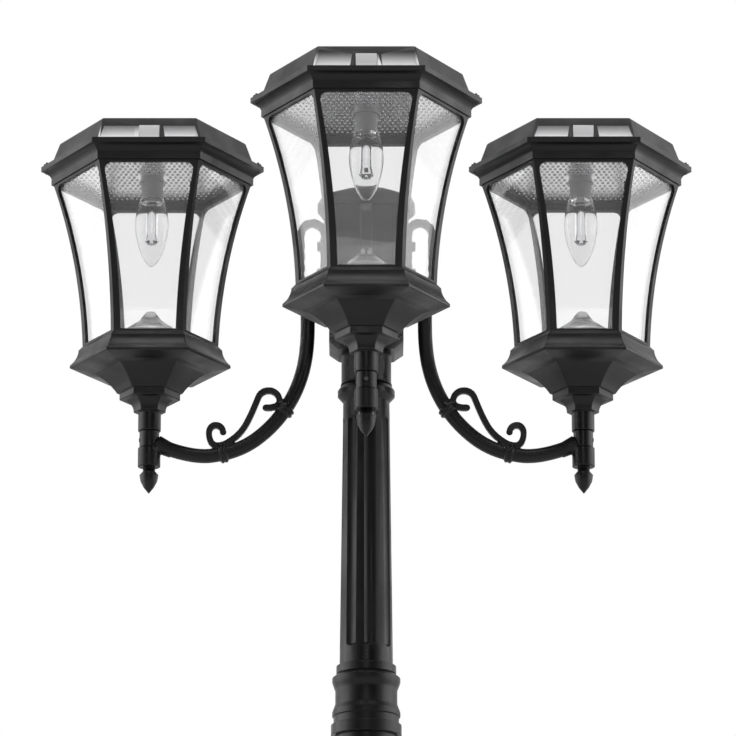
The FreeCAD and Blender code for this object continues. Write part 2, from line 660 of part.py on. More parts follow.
def arm_shape():
    """Loop, tapering tube, collars, scroll and socket as one casting, bored for what it holds."""
    face = "hub_half + pad_thickness"
    head = station("head", f"{face} + head_across", "head_up")
    elbow = station("elbow", f"{face} + elbow_across", "elbow_up")
    near = station("near", f"{face} + near_across", "near_up")
    far = station("far", "arm_reach - far_across", "far_up")
    low = station("low", "arm_reach - low_across", "low_up")
    rise = station("rise", "arm_reach - rise_across", "rise_up")
    stem = station("stem", "arm_reach - stem_across", "stem_up")
    tube = round_bar(smooth_path([head, elbow, near, far, low, rise, stem]), value("tube_radius"))
    flare = flared_end(rise, stem)
    names_near = ("tongue", "hook", "crest", "spine")
    names_far = ("dip", "trough", "outer", "roll", "curl")
    scroll_path = [(near[0] + Vector(value(f"{name}_x"), 0, value(f"{name}_z")), value(f"{name}_turn"))
                   for name in names_near]
    scroll_path += [(far[0] + Vector(value(f"{name}_x"), 0, value(f"{name}_z")), value(f"{name}_turn"))
                    for name in names_far]
    scroll = flat_bar(smooth_path(scroll_path), value("scroll_width"), value("scroll_depth"))
    collars = [collar(place, heading(turn)) for place, turn in (near, far)]
    whole = mounting_loop().multiFuse([tube, flare, scroll, socket()] + collars)
    reach, fit = value("arm_reach"), value("fit")
    bores = [
        Part.makeCylinder(value("spigot_radius + swivel_fit"), value("socket_height"),
                          Vector(reach, 0, value("socket_floor"))),
        Part.makeCylinder(value("finial_tang_radius") + fit, value("finial_tang + seat_gap"),
                          Vector(reach, 0, 0)),
        Part.makeCylinder(value("set_screw_radius") + fit, value("socket_foot_radius") * 2,
                          Vector(reach, 0, value("set_screw_height")), Vector(1, 0, 0)),
    ]
    for height in ("bolt_upper", "bolt_lower"):
        bores.append(Part.makeCylinder(value("bolt_radius") + fit, value("loop_bar") * 2,
                                       Vector(value(face) - 1, 0, value(height)), Vector(1, 0, 0)))
    for bore in bores:
        whole = whole.cut(bore)
    return whole


def flared_end(rise, stem):
    """Cone that widens the tube where it meets the socket."""
    end, turn = stem
    along = heading(turn)
    length = (end - rise[0]).Length * 0.75
    return Part.makeCone(value("tube_radius"), value("flare_radius"), length, end - along * length, along)


def arms():
    """Three arms, their finials, bolts and set screws."""
    shape = arm_shape()
    bolts, screws = [], []
    for side, turn in ARM_TURNS.items():
        arm = doc.addObject("Part::Feature", f"arm_{side}")
        arm.Shape = shape
        sub_part(arm, f"arm_{side}", up=SOCKET_FOOT, turn=turn)
        place = Placement(Vector(0, 0, value(SOCKET_FOOT)), Rotation(Vector(0, 0, 1), turn))
        for height in ("bolt_upper", "bolt_lower"):
            bolts.append(moved(bolt(height), place))
        screws.append(moved(set_screw(), place))
        finial(side)
    for name, solids in (("arm_bolts", bolts), ("stem_set_screws", screws)):
        group = doc.addObject("Part::Feature", name)
        group.Shape = Part.makeCompound(solids)
        sub_part(group, name)


def moved(solid, place):
    """A copy of a solid in another place."""
    copy = solid.copy()
    copy.Placement = place.multiply(copy.Placement)
    return copy


def hexagon_prism(flat, length, place, along):
    """Hexagonal prism from a point along a direction."""
    points = level_polygon(LANTERN_SIDES, flat, 0)
    solid = Part.Face(Part.makePolygon(points + points[:1])).extrude(Vector(0, 0, length))
    solid.Placement = Placement(place, Rotation(Vector(0, 0, 1), along))
    return solid


def bolt(height):
    """Hexagon-head bolt through the arm's flange and the hub's wall."""
    inside = value("hub_half + pad_thickness + loop_bar")
    length = value("loop_bar + pad_thickness + hub_wall")
    up = value(height)
    outward = Vector(1, 0, 0)
    shank = Part.makeCylinder(value("bolt_radius"), length, Vector(inside - length, 0, up), outward)
    head = hexagon_prism(value("bolt_head"), value("bolt_head_height"), Vector(inside, 0, up), outward)
    return shank.fuse(head)


def set_screw():
    """Headless screw that clamps the lantern's spigot."""
    tip = value("arm_reach + spigot_radius + seat_gap")
    length = value("socket_radius - spigot_radius - seat_gap + overlap")
    start = Vector(tip, 0, value("set_screw_height"))
    return Part.makeCylinder(value("set_screw_radius"), length, start, Vector(1, 0, 0))


def finial(side):
    """Faceted acorn below the socket, on a tang."""
    acorn = faceted(10, (
        ("0.5", "-finial_length"),
        ("finial_belly * 0.62", "-finial_length * 0.78"),
        ("finial_belly", "-finial_length * 0.55"),
        ("finial_radius", "-finial_neck - finial_shoulder"),
        ("finial_neck_radius", "-finial_neck"),
        ("finial_neck_radius", "0"),
    ))
    piece = doc.addObject("Part::Feature", f"finial_{side}")
    piece.Shape = acorn.fuse(Part.makeCylinder(value("finial_tang_radius"), value("finial_tang")))
    across, depth = lantern_axis(side)
    sub_part(piece, f"finial_{side}", across, depth, SOCKET_FOOT)


def level_polygon(sides, flat, up):
    """Corner points of a level regular polygon with half its width across flats."""
    corner = flat / math.cos(math.pi / sides)
    angles = [2 * math.pi * index / sides for index in range(sides)]
    return [Vector(corner * math.cos(angle), corner * math.sin(angle), up) for angle in angles]


def faceted(sides, stations):
    """Solid with flat facets between regular polygons (flat, up), from the foot upwards."""
    rings = [level_polygon(sides, value(flat), value(up)) for flat, up in stations]
    outlines = [rings[0], rings[-1]]
    for low, high in zip(rings, rings[1:]):
        for index in range(sides):
            following = (index + 1) % sides
            outlines.append([low[index], low[following], high[following], high[index]])
    faces = [Part.Face(Part.makePolygon(points + points[:1])) for points in outlines]
    return Part.Solid(Part.Shell(faces))


# Lantern below the roof --------------------------------------------------------------------------

def lantern_axis(side):
    """Expressions of the place of a lantern's axis."""
    turn = ARM_TURNS[side]
    across = f"arm_reach * {round(math.cos(math.radians(turn)))}"
    depth = f"arm_reach * {round(math.sin(math.radians(turn)))}"
    return across, depth


def lantern_part(body, name, side):
    """Place a lantern's piece on its axis, measured up from the socket's foot."""
    across, depth = lantern_axis(side)
    sub_part(body, f"{name}_{side}", across, depth, SOCKET_FOOT)


def cup(side):
    """Hexagonal bowl on a turned stem, with a spigot that sits in the arm's socket."""
    body = new_body(f"cup_{side}")
    turned(body, "stem", [
        ("0", "socket_height - spigot_length"),
        ("spigot_radius", "socket_height - spigot_length"),
        ("spigot_radius", "socket_height"),
        ("stem_radius", "socket_height"),
        ("stem_radius", STEM_TOP),
        ("0", STEM_TOP),
    ])
    mouth = "cup_foot_flat * 0.5"
    mitred(body, "bowl", LANTERN_SIDES, 0, "lip_flat", [
        (mouth, STEM_TOP),
        ("cup_foot_flat", STEM_TOP),
        ("cove_flat", STEP_FOOT, "cove_sag"),
        ("step_flat", STEP_FOOT),
        ("step_flat", BOWL_FOOT),
        ("bowl_foot_flat", BOWL_FOOT),
        ("bowl_flat", EAVE_FOOT, "bowl_sag"),
        ("lip_flat", LIP_FOOT),
        ("lip_flat", BAND_FOOT),
        ("band_flat", CUP_TOP, "band_sag"),
        ("band_flat - cup_wall", CUP_TOP),
        ("band_flat - cup_wall", LIP_FOOT),
        ("bowl_flat - cup_wall", f"{EAVE_FOOT} + cup_wall"),
        ("bowl_foot_flat - cup_wall", f"{BOWL_FOOT} + cup_wall", "-bowl_sag"),
        (mouth, STEP_FOOT),
    ])
    plug = outline(new_sketch(body, "plug_hexagon", "XY_Plane", STEM_TOP),
                   polygon(LANTERN_SIDES, f"{mouth} + overlap"))
    padded(body, "plug", plug, "cove_height * 0.6")
    lantern_part(body, "cup", side)


def cage(side):
    """Flared hexagonal frame: a floor, six angled legs and a rim under the roof."""
    body = new_body(f"cage_{side}")
    inside_top = "cage_flat - cage_wall"
    mitred(body, "frame", LANTERN_SIDES, 0, "cage_flat", [
        ("cage_foot_flat - cage_wall", CUP_TOP),
        ("band_flat - 0.8", CUP_TOP),
        ("cage_foot_flat", f"{CUP_TOP} + ledge_height"),
        ("cage_flat", CAGE_TOP, "cage_sag"),
        ("cage_flat - rim_inset", CAGE_TOP),
        ("cage_flat - rim_inset", f"{CAGE_TOP} + rim_height"),
        (inside_top, f"{CAGE_TOP} + rim_height"),
        (inside_top, CAGE_TOP),
        ("cage_foot_flat - cage_wall", f"{CUP_TOP} + ledge_height", "-cage_sag"),
    ])
    floor = outline(new_sketch(body, "floor_hexagon", "XY_Plane", CUP_TOP),
                    polygon(LANTERN_SIDES, "cage_foot_flat - cage_wall + overlap"))
    padded(body, "floor", floor, "floor_height")
    sill, head = f"{CUP_TOP} + window_sill", f"{CAGE_TOP} - window_head"
    foot_half = "cage_foot_flat * tan(30) - leg_foot"
    head_half = "cage_flat * tan(30) - leg_head"
    bow = "cage_sag * tan(30)"
    round_drop, round_sag = "window_corner", "window_corner * 0.29"
    window = outline(new_sketch(body, "window", "XZ_Plane"), [
        (f"-({foot_half})", sill, bow),
        (foot_half, sill),
        (head_half, f"{head} - {round_drop}", bow),
        (f"{head_half} - {round_drop}", head, f"-{round_sag}"),
        (f"-({head_half} - {round_drop})", head),
        (f"-({head_half})", f"{head} - {round_drop}", f"-{round_sag}"),
    ])
    opening = pocketed(body, "opening", window, "cage_flat * 1.5", reverse=True)
    round_and_round(body, "openings", [opening], str(LANTERN_SIDES))
    lantern_part(body, "cage", side)


def glass_panes(side):
    """Six bent panes inside the cage, mitred at the corners."""
    body = new_body(f"glass_panes_{side}")
    outer_foot = "cage_foot_flat - cage_wall - glazing_gap"
    outer_head = "cage_flat - cage_wall - glazing_gap"
    foot, head = f"{FLOOR_TOP} + seat_gap", f"{CAGE_TOP} - window_head / 3"
    mitred(body, "glazing", LANTERN_SIDES, 0, outer_head, [
        (f"{outer_foot} - pane_thickness", foot, "-cage_sag"),
        (outer_foot, foot),
        (outer_head, head, "cage_sag"),
        (f"{outer_head} - pane_thickness", head),
    ])
    half = "pane_corner_gap / 2"
    slot = outline(new_sketch(body, "corner_slot", "XY_Plane", foot), [
        ("cage_foot_flat * 0.5", f"-{half}"), ("cage_flat * 2", f"-{half}"),
        ("cage_flat * 2", half), ("cage_foot_flat * 0.5", half)])
    corner = pocketed(body, "corner", slot, "cage_height", reverse=True)
    round_and_round(body, "corners", [corner], str(LANTERN_SIDES))
    lantern_part(body, "glass_panes", side)


def pane_clip(side):
    """Small clip that holds the panes' edges against the front right leg."""
    body = new_body(f"pane_clip_{side}")
    flat = "(cage_flat - cage_wall - clip_inset)"
    corner = (f"{flat} * tan(30)", f"-{flat}")
    along = ("clip_width * sin(30)", "clip_width * cos(30)")
    inward = ("clip_thickness * cos(30)", "clip_thickness * sin(30)")
    plate = outline(new_sketch(body, "plate", "XY_Plane", f"{CAGE_TOP} - clip_drop - clip_height"), [
        corner,
        (f"{corner[0]} + {along[0]}", f"{corner[1]} + {along[1]}"),
        (f"{corner[0]} + {along[0]} - {inward[0]}", f"{corner[1]} + {along[1]} + {inward[1]}"),
        (f"{corner[0]} - {inward[0]}", f"{corner[1]} + {inward[1]}"),
    ])
    padded(body, "clip", plate, "clip_height")
    lantern_part(body, "pane_clip", side)


def crystal(side):
    """Faceted glass cone that stands on the cage's floor."""
    piece = doc.addObject("Part::Feature", f"crystal_{side}")
    piece.Shape = faceted(12, (
        ("crystal_radius", FLOOR_TOP),
        ("crystal_radius", f"{FLOOR_TOP} + crystal_skirt"),
        ("crystal_shoulder_radius", f"{FLOOR_TOP} + crystal_shoulder"),
        ("crystal_waist_radius", f"{FLOOR_TOP} + crystal_waist"),
        ("crystal_tip_radius", f"{FLOOR_TOP} + crystal_height"),
    ))
    lantern_part(piece, "crystal", side)


# Lantern roof ------------------------------------------------------------------------------------

def roof(side):
    """Roof casting: fascia, coved crown and brim round a well with a thin deck."""
    body = new_body(f"roof_{side}")
    inner = "fascia_flat - fascia_wall"
    mitred(body, "eaves", LANTERN_SIDES, 0, "brim_flat", [
        ("deck_hole", CEILING),
        (inner, CEILING),
        (inner, CAGE_TOP),
        ("fascia_flat", CAGE_TOP),
        ("fascia_flat", f"{CAGE_TOP} + fascia_height"),
        ("brim_flat", BRIM_FOOT, "crown_sag"),
        ("brim_flat", BRIM_TOP),
        ("well_flat", BRIM_TOP),
        ("well_flat", f"{CEILING} + deck_thickness"),
        ("deck_hole", f"{CEILING} + deck_thickness"),
    ])
    holes = new_sketch(body, "screw_circles", "XY_Plane", BRIM_TOP)
    for sign in (1, -1):
        ring(holes, "roof_screw_radius + fit", f"{sign} * roof_screw_offset")
    pocketed(body, "screw_holes", holes, "roof_screw_length + seat_gap")
    lantern_part(body, "roof", side)


def solar_cap(side):
    """Sloped hexagonal housing with a recess for the panel, two scoops and a window in front."""
    body = new_body(f"solar_cap_{side}")
    ledge = "panel_flat + panel_gap"
    mitred(body, "housing", LANTERN_SIDES, 0, "cap_foot_flat", [
        ("cap_foot_flat - cap_side", BRIM_TOP),
        ("cap_foot_flat", BRIM_TOP),
        ("cap_head_flat", f"{CAP_TOP} - cap_bevel"),
        ("cap_head_flat - cap_bevel", CAP_TOP),
        (ledge, CAP_TOP),
        (ledge, f"{CAP_TOP} - panel_thickness"),
        ("panel_flat - panel_ledge", f"{CAP_TOP} - panel_thickness"),
        ("panel_flat - panel_ledge", f"{CAP_TOP} - panel_thickness - ledge_thickness"),
        ("cap_head_flat - cap_side", f"{CAP_TOP} - panel_thickness - ledge_thickness"),
    ])
    foot, head = f"{BRIM_TOP} + scoop_sill", f"{BRIM_TOP} + scoop_height"
    for name, sign in (("left", -1), ("right", 1)):
        sketch = outline(new_sketch(body, f"scoop_{name}_outline", "XZ_Plane", "cap_foot_flat"), [
            (f"{sign} * scoop_inner_foot", foot), (f"{sign} * scoop_outer_foot", foot),
            (f"{sign} * scoop_outer_head", head), (f"{sign} * scoop_inner_head", head)])
        pocketed(body, f"scoop_{name}", sketch, "scoop_depth")
    half = "sensor_half_width + fit"
    window = outline(new_sketch(body, "window_outline", "XZ_Plane", "cap_foot_flat"), [
        (f"-({half})", BRIM_TOP), (half, BRIM_TOP),
        (half, f"{BRIM_TOP} + sensor_height + fit"), (f"-({half})", f"{BRIM_TOP} + sensor_height + fit")])
    pocketed(body, "window", window, "cap_side * 2")
    lantern_part(body, "solar_cap", side)


def solar_panel(side):
    """Hexagonal panel let into the top of the cap."""
    body = new_body(f"solar_panel_{side}")
    plate = outline(new_sketch(body, "plate", "XY_Plane", f"{CAP_TOP} - panel_thickness"),
                    polygon(LANTERN_SIDES, "panel_flat"))
    padded(body, "panel", plate, "panel_thickness - 0.5")
    lantern_part(body, "solar_panel", side)


def sensor_window(side):
    """Frosted block in the front of the cap."""
    body = new_body(f"sensor_window_{side}")
    face = outline(new_sketch(body, "face", "XZ_Plane", "cap_foot_flat - sensor_inset"), [
        ("-sensor_half_width", BRIM_TOP), ("sensor_half_width", BRIM_TOP),
        ("sensor_half_width", f"{BRIM_TOP} + sensor_height"),
        ("-sensor_half_width", f"{BRIM_TOP} + sensor_height")])
    padded(body, "block", face, "sensor_depth", reverse=True)
    lantern_part(body, "sensor_window", side)


def roof_screws(side):
    """Two thumb screws in the corners of the brim."""
    body = new_body(f"roof_screws_{side}")
    length = "roof_screw_length"
    for name, sign in (("left", -1), ("right", 1)):
        across = f"{sign} * roof_screw_offset"
        shank = ring(new_sketch(body, f"{name}_shank", "XY_Plane", BRIM_TOP), "roof_screw_radius", across)
        padded(body, f"shank_{name}", shank, length, reverse=True)
        head = outline(new_sketch(body, f"{name}_head", "XY_Plane", BRIM_TOP),
                       [(f"{across} + ({x})", y) for x, y in polygon(8, "thumb_radius")])
        padded(body, f"head_{name}", head, "thumb_flat_height")
        inner, outer = f"{across} - thumb_radius / 3", f"{across} + thumb_radius / 3"
        wing = outline(new_sketch(body, f"{name}_wing", "XY_Plane", f"{BRIM_TOP} + thumb_flat_height"), [
            (inner, "-thumb_radius"), (outer, "-thumb_radius"),
            (outer, "thumb_radius"), (inner, "thumb_radius")])
        padded(body, f"wing_{name}", wing, "thumb_height - thumb_flat_height")
    lantern_part(body, "roof_screws", side)


def reflector(side):
    """Flat hexagonal ceiling plate under the deck."""
    body = new_body(f"reflector_{side}")
    plate = outline(new_sketch(body, "plate", "XY_Plane", LAMP_TOP),
                    polygon(LANTERN_SIDES, "fascia_flat - fascia_wall - reflector_gap"))
    ring(plate, "holder_spigot + fit")
    padded(body, "ceiling", plate, "reflector_thickness")
    lantern_part(body, "reflector", side)


def bulb_holder(side):
    """Lamp holder that hangs from the ceiling through a spigot."""
    body = new_body(f"bulb_holder_{side}")
    turned(body, "holder", [
        ("0", f"{LAMP_FOOT} + holder_bore_depth"),
        ("holder_bore", f"{LAMP_FOOT} + holder_bore_depth"),
        ("holder_bore", LAMP_FOOT),
        ("holder_radius", LAMP_FOOT),
        ("holder_radius", f"{LAMP_TOP} - holder_flange"),
        ("holder_flange_radius", f"{LAMP_TOP} - holder_flange"),
        ("holder_flange_radius - 3", LAMP_TOP),
        ("holder_spigot", LAMP_TOP),
        ("holder_spigot", f"{CEILING} + deck_thickness"),
        ("0", f"{CEILING} + deck_thickness"),
    ])
    lantern_part(body, "bulb_holder", side)


def bulb_core(side):
    """Lamp cap with the clear light guide that carries the light into the glass."""
    body = new_body(f"bulb_core_{side}")
    collar_foot = f"{LAMP_FOOT} - seat_gap - bulb_collar"
    turned(body, "core", [
        ("0", f"{collar_foot} - guide_length"),
        ("guide_crown_radius * 0.6", f"{collar_foot} - guide_length"),
        ("guide_crown_radius", f"{collar_foot} - guide_length + guide_crown * 0.3"),
        ("guide_radius", f"{collar_foot} - guide_length + guide_crown"),
        ("guide_radius", collar_foot),
        ("bulb_neck_radius - bulb_wall - seat_gap", collar_foot),
        ("bulb_neck_radius - bulb_wall - seat_gap", f"{collar_foot} + bulb_collar"),
        ("bulb_cap_radius", f"{collar_foot} + bulb_collar"),
        ("bulb_cap_radius", f"{collar_foot} + bulb_collar + bulb_cap_height"),
        ("0", f"{collar_foot} + bulb_collar + bulb_cap_height"),
    ])
    lantern_part(body, "bulb_core", side)


def bulb_glass(side):
    """Candle-shaped glass round the light guide."""
    body = new_body(f"bulb_glass_{side}")
    top = f"{LAMP_FOOT} - seat_gap"
    foot = f"{top} - bulb_length"
    belly = f"{top} - bulb_shoulder"
    turned(body, "glass", [
        ("0", foot),
        ("bulb_radius * 0.26", f"{foot} + bulb_length * 0.035"),
        ("bulb_radius * 0.78", f"{foot} + bulb_length * 0.28"),
        ("bulb_radius", belly),
        ("bulb_neck_radius", top),
        ("bulb_neck_radius - bulb_wall", top),
        ("bulb_radius - bulb_wall", belly),
        ("bulb_radius * 0.78 - bulb_wall", f"{foot} + bulb_length * 0.28"),
        ("0", f"{foot} + bulb_wall * 1.5"),
    ])
    lantern_part(body, "bulb_glass", side)


def battery_pack(side):
    """Battery case on the deck, under the panel."""
    body = new_body(f"battery_pack_{side}")
    near, far = "battery_offset - battery_width / 2", "battery_offset + battery_width / 2"
    case = outline(new_sketch(body, "case", "XY_Plane", f"{CEILING} + deck_thickness"), [
        ("-battery_length / 2", near), ("battery_length / 2", near),
        ("battery_length / 2", far), ("-battery_length / 2", far)])
    padded(body, "pack", case, "battery_height")
    lantern_part(body, "battery_pack", side)


def lanterns():
    """Three lanterns, each of the same pieces."""
    makers = (cup, cage, glass_panes, pane_clip, crystal, roof, solar_cap, solar_panel, sensor_window,
              roof_screws, reflector, bulb_holder, bulb_core, bulb_glass, battery_pack)
    for side in ARM_TURNS:
        for make in makers:
            make(side)


def check():
    """Stop if anything failed to build."""
    failed = [item.Label for item in doc.Objects if {"Invalid", "Error"} & set(item.State)]
    bad = [part.Label for part in sub_parts if part.Shape.isNull() or not part.Shape.isValid()]
    if failed or bad:
        raise RuntimeError(f"failed: {failed}; bad shapes: {bad}")


def export():
    """Write each sub-part to its own STEP file."""
    os.makedirs("parts", exist_ok=True)
    for part in sub_parts:
        part.Shape.exportStep(f"parts/{part.Label}.step")


fill_sheet()
base_casting()
shafts()
mid_collar()
hub()
hub_cap()
arms()
lanterns()
doc.recompute()
check()
export()
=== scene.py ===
"""Looks of the triple head lamp post: black coat, clear panes, dimpled mirrors and solar tops."""
import logging
import math
from collections.abc import Callable
from dataclasses import dataclass, field
from enum import Enum

import bmesh
import bpy
import numpy as np
from mathutils import Matrix, Vector

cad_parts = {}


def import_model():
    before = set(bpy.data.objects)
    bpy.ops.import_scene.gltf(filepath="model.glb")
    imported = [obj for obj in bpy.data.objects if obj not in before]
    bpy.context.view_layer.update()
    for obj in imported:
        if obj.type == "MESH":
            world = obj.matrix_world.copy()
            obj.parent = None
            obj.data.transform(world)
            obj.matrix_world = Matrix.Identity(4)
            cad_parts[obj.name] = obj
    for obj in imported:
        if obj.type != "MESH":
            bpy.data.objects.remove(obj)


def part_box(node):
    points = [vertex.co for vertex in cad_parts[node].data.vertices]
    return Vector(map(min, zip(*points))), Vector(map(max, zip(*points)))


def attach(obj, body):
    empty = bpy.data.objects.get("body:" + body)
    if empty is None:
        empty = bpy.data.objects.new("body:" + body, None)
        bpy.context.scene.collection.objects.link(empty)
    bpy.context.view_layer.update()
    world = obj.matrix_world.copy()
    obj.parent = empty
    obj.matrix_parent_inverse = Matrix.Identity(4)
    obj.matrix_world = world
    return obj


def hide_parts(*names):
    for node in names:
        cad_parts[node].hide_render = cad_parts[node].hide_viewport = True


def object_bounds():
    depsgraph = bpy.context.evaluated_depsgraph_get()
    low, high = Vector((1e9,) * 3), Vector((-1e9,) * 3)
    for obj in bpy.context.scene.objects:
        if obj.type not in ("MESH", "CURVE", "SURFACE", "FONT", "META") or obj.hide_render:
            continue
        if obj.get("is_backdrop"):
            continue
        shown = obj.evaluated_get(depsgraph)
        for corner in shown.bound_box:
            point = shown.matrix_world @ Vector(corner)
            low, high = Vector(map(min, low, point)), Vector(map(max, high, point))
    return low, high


LOG = logging.getLogger("lamp_post")

# Levels and reaches of the solids, in metres.
SOCKET_FOOT = 1.8858
ARM_REACH = 0.2564
BORE_RADIUS = 0.00805
SOCKET_FLOOR = 0.018
CRYSTAL_WAIST = 2.064
SCOOP_FOOT = 2.2622
SCOOP_HEAD = 2.282
# Level where the painted reflection on the cap's hollows has faded to dark.
SCOOP_SHADE = 2.2812

# What counts as one point, as one flat face and as an edge (in degrees).
WELD_REACH = 1e-6
FLAT_ANGLE = math.radians(0.05)
EDGE_ANGLE = 30.0

# Height of an equal-sided triangle with sides of one.
ROW_SHARE = math.sqrt(0.75)

# Places of the colour sockets in a Mix node.
MIX_COLORS = (6, 7)
MIX_RESULT = 2

Pair = tuple[float, float]
Triple = tuple[float, float, float]


class Side(Enum):
    """The three lanterns, with the turn of each arm about the post in degrees."""

    LEFT = 180.0
    RIGHT = 0.0
    FRONT = 270.0

    @property
    def label(self) -> str:
        """Name of the side as it stands in node names."""
        return self.name.lower()

    @property
    def axis(self) -> Vector:
        """Place of the lantern's axis at the foot of its socket."""
        turn = math.radians(self.value)
        return Vector((ARM_REACH * math.cos(turn), ARM_REACH * math.sin(turn), SOCKET_FOOT))


# Node helpers ------------------------------------------------------------------------------------

class NodePen:
    """Adds and joins nodes in one node tree."""

    def __init__(self, tree: bpy.types.NodeTree) -> None:
        """Start on a tree.

        Args:
            tree: The node tree to write in.
        """
        self.tree = tree

    def add(self, kind: str, **settings: object) -> bpy.types.Node:
        """Add a node and set its properties or its unlinked inputs.

        Args:
            kind: Blender's type name of the node.
            **settings: Property names, or input names with spaces as underscores.

        Returns:
            The new node.
        """
        node = self.tree.nodes.new(kind)
        for name, value in settings.items():
            if hasattr(node, name):
                setattr(node, name, value)
            else:
                node.inputs[name.replace("_", " ")].default_value = value
        return node

    def math(self, operation: str, *values: object) -> bpy.types.NodeSocket:
        """Add a Math node whose inputs are numbers or sockets.

        Args:
            operation: Name of the operation.
            *values: Numbers or sockets, in the order of the node's inputs.

        Returns:
            The node's result.
        """
        node = self.tree.nodes.new("ShaderNodeMath")
        node.operation = operation
        for index, value in enumerate(values):
            self.feed(node.inputs[index], value)
        return node.outputs[0]

    def feed(self, socket: bpy.types.NodeSocket, value: object) -> None:
        """Link a socket into an input, or write a number there."""
        if isinstance(value, bpy.types.NodeSocket):
            self.tree.links.new(value, socket)
        else:
            socket.default_value = value

    def split(self, vector: bpy.types.NodeSocket) -> bpy.types.bpy_prop_collection:
        """Take a vector apart.

        Args:
            vector: The vector's socket.

        Returns:
            The sockets X, Y and Z.
        """
        node = self.add("ShaderNodeSeparateXYZ")
        self.feed(node.inputs[0], vector)
        return node.outputs

    def place(self, output: str = "Object") -> bpy.types.bpy_prop_collection:
        """Take the shaded point's place apart.

        Args:
            output: Name of the coordinates.

        Returns:
            The sockets X, Y and Z.
        """
        return self.split(self.add("ShaderNodeTexCoord").outputs[output])

    def span(self, value: bpy.types.NodeSocket, source: Pair, target: Pair = (0.0, 1.0),
             ease: str = "LINEAR") -> bpy.types.NodeSocket:
        """Carry a value from one range to another.

        Args:
            value: The value's socket.
            source: The range it comes from.
            target: The range it goes to.
            ease: Blender's name of the course between them.

        Returns:
            The new value.
        """
        node = self.add("ShaderNodeMapRange", interpolation_type=ease)
        self.feed(node.inputs["Value"], value)
        for name, (low, high) in (("From", source), ("To", target)):
            node.inputs[f"{name} Min"].default_value = low
            node.inputs[f"{name} Max"].default_value = high
        return node.outputs[0]

    def blend(self, share: bpy.types.NodeSocket, *colors: Triple) -> bpy.types.NodeSocket:
        """Mix two colours.

        Args:
            share: How much of the second colour shows.
            *colors: The two colours.

        Returns:
            The mixed colour.
        """
        node = self.add("ShaderNodeMix", data_type="RGBA")
        self.feed(node.inputs[0], share)
        for index, color in zip(MIX_COLORS, colors):
            node.inputs[index].default_value = (*color, 1.0)
        return node.outputs[MIX_RESULT]

    def group(self, name: str, build: Callable[[], bpy.types.NodeTree],
              **values: float) -> bpy.types.bpy_prop_collection:
        """Use a shader node group, building it on first use.

        Args:
            name: Name of the group.
            build: What builds it.
            **values: The group's inputs.

        Returns:
            The group's outputs.
        """
        tree = bpy.data.node_groups.get(name) or build()
        return self.add("ShaderNodeGroup", node_tree=tree, **values).outputs


def grain_group(broad_share: float = 0.03) -> bpy.types.NodeTree:
    """Build the fine orange-peel grain that every moulded or coated surface uses.

    Args:
        broad_share: Scale of the broad mottle as a share of the fine grain's.

    Returns:
        A shader node group with Scale in, and Height, Mottle out.
    """
    tree = bpy.data.node_groups.new("fine_grain", "ShaderNodeTree")
    tree.interface.new_socket("Scale", in_out="INPUT", socket_type="NodeSocketFloat")
    tree.interface.new_socket("Height", in_out="OUTPUT", socket_type="NodeSocketFloat")
    tree.interface.new_socket("Mottle", in_out="OUTPUT", socket_type="NodeSocketFloat")
    pen = NodePen(tree)
    start, end = pen.add("NodeGroupInput"), pen.add("NodeGroupOutput")
    spot = pen.add("ShaderNodeTexCoord").outputs["Object"]
    fine = pen.add("ShaderNodeTexNoise", Detail=2.0, Roughness=0.6)
    broad = pen.add("ShaderNodeTexNoise", Detail=4.0, Roughness=0.55)
    for noise in (fine, broad):
        pen.feed(noise.inputs["Vector"], spot)
    pen.feed(fine.inputs["Scale"], start.outputs["Scale"])
    pen.feed(broad.inputs["Scale"], pen.math("MULTIPLY", start.outputs["Scale"], broad_share))
    pen.feed(end.inputs["Height"], fine.outputs["Fac"])
    pen.feed(end.inputs["Mottle"], broad.outputs["Fac"])
    return tree


def cell_group(row_share: float = 0.25) -> bpy.types.NodeTree:
    """Build the thin lines of a solar panel's cells.

    Args:
        row_share: Pitch of the rows as a share of the columns'.

    Returns:
        A shader node group with Pitch, Width in, and Line out.
    """
    tree = bpy.data.node_groups.new("cell_lines", "ShaderNodeTree")
    for name in ("Pitch", "Width"):
        tree.interface.new_socket(name, in_out="INPUT", socket_type="NodeSocketFloat")
    tree.interface.new_socket("Line", in_out="OUTPUT", socket_type="NodeSocketFloat")
    pen = NodePen(tree)
    start, end = pen.add("NodeGroupInput"), pen.add("NodeGroupOutput")
    spot = pen.place()
    lines = []
    for axis, share in (("X", 1.0), ("Y", row_share)):
        pitch = pen.math("MULTIPLY", start.outputs["Pitch"], share)
        wave = pen.math("PINGPONG", spot[axis], pitch)
        lines.append(pen.math("LESS_THAN", wave, start.outputs["Width"]))
    pen.feed(end.inputs["Line"], pen.math("MAXIMUM", *lines))
    return tree


# Finishes ----------------------------------------------------------------------------------------

@dataclass(frozen=True)
class Finish:
    """Base of every finish: a named material with one Principled surface."""

    name: str
    slot: str
    color: Triple
    roughness: float
    gloss: float = 0.5

    def material(self) -> bpy.types.Material:
        """Give the material, building it on first use.

        Returns:
            The material.
        """
        made = bpy.data.materials.get(self.name)
        if made:
            return made
        made = bpy.data.materials.new(self.name)
        made.use_nodes = True
        made.node_tree.nodes.clear()
        pen = NodePen(made.node_tree)
        surface = pen.add("ShaderNodeBsdfPrincipled", Roughness=self.roughness)
        surface.inputs["Base Color"].default_value = (*self.color, 1.0)
        surface.inputs["Specular IOR Level"].default_value = self.gloss
        output = pen.add("ShaderNodeOutputMaterial")
        pen.feed(output.inputs["Surface"], surface.outputs[0])
        self.dress(pen, surface, output)
        return made

    def dress(self, pen: NodePen, surface: bpy.types.Node, output: bpy.types.Node) -> None:
        """Add what makes this finish its own.

        Args:
            pen: Writer on the material's tree.
            surface: The Principled surface.
            output: The material's output.
        """


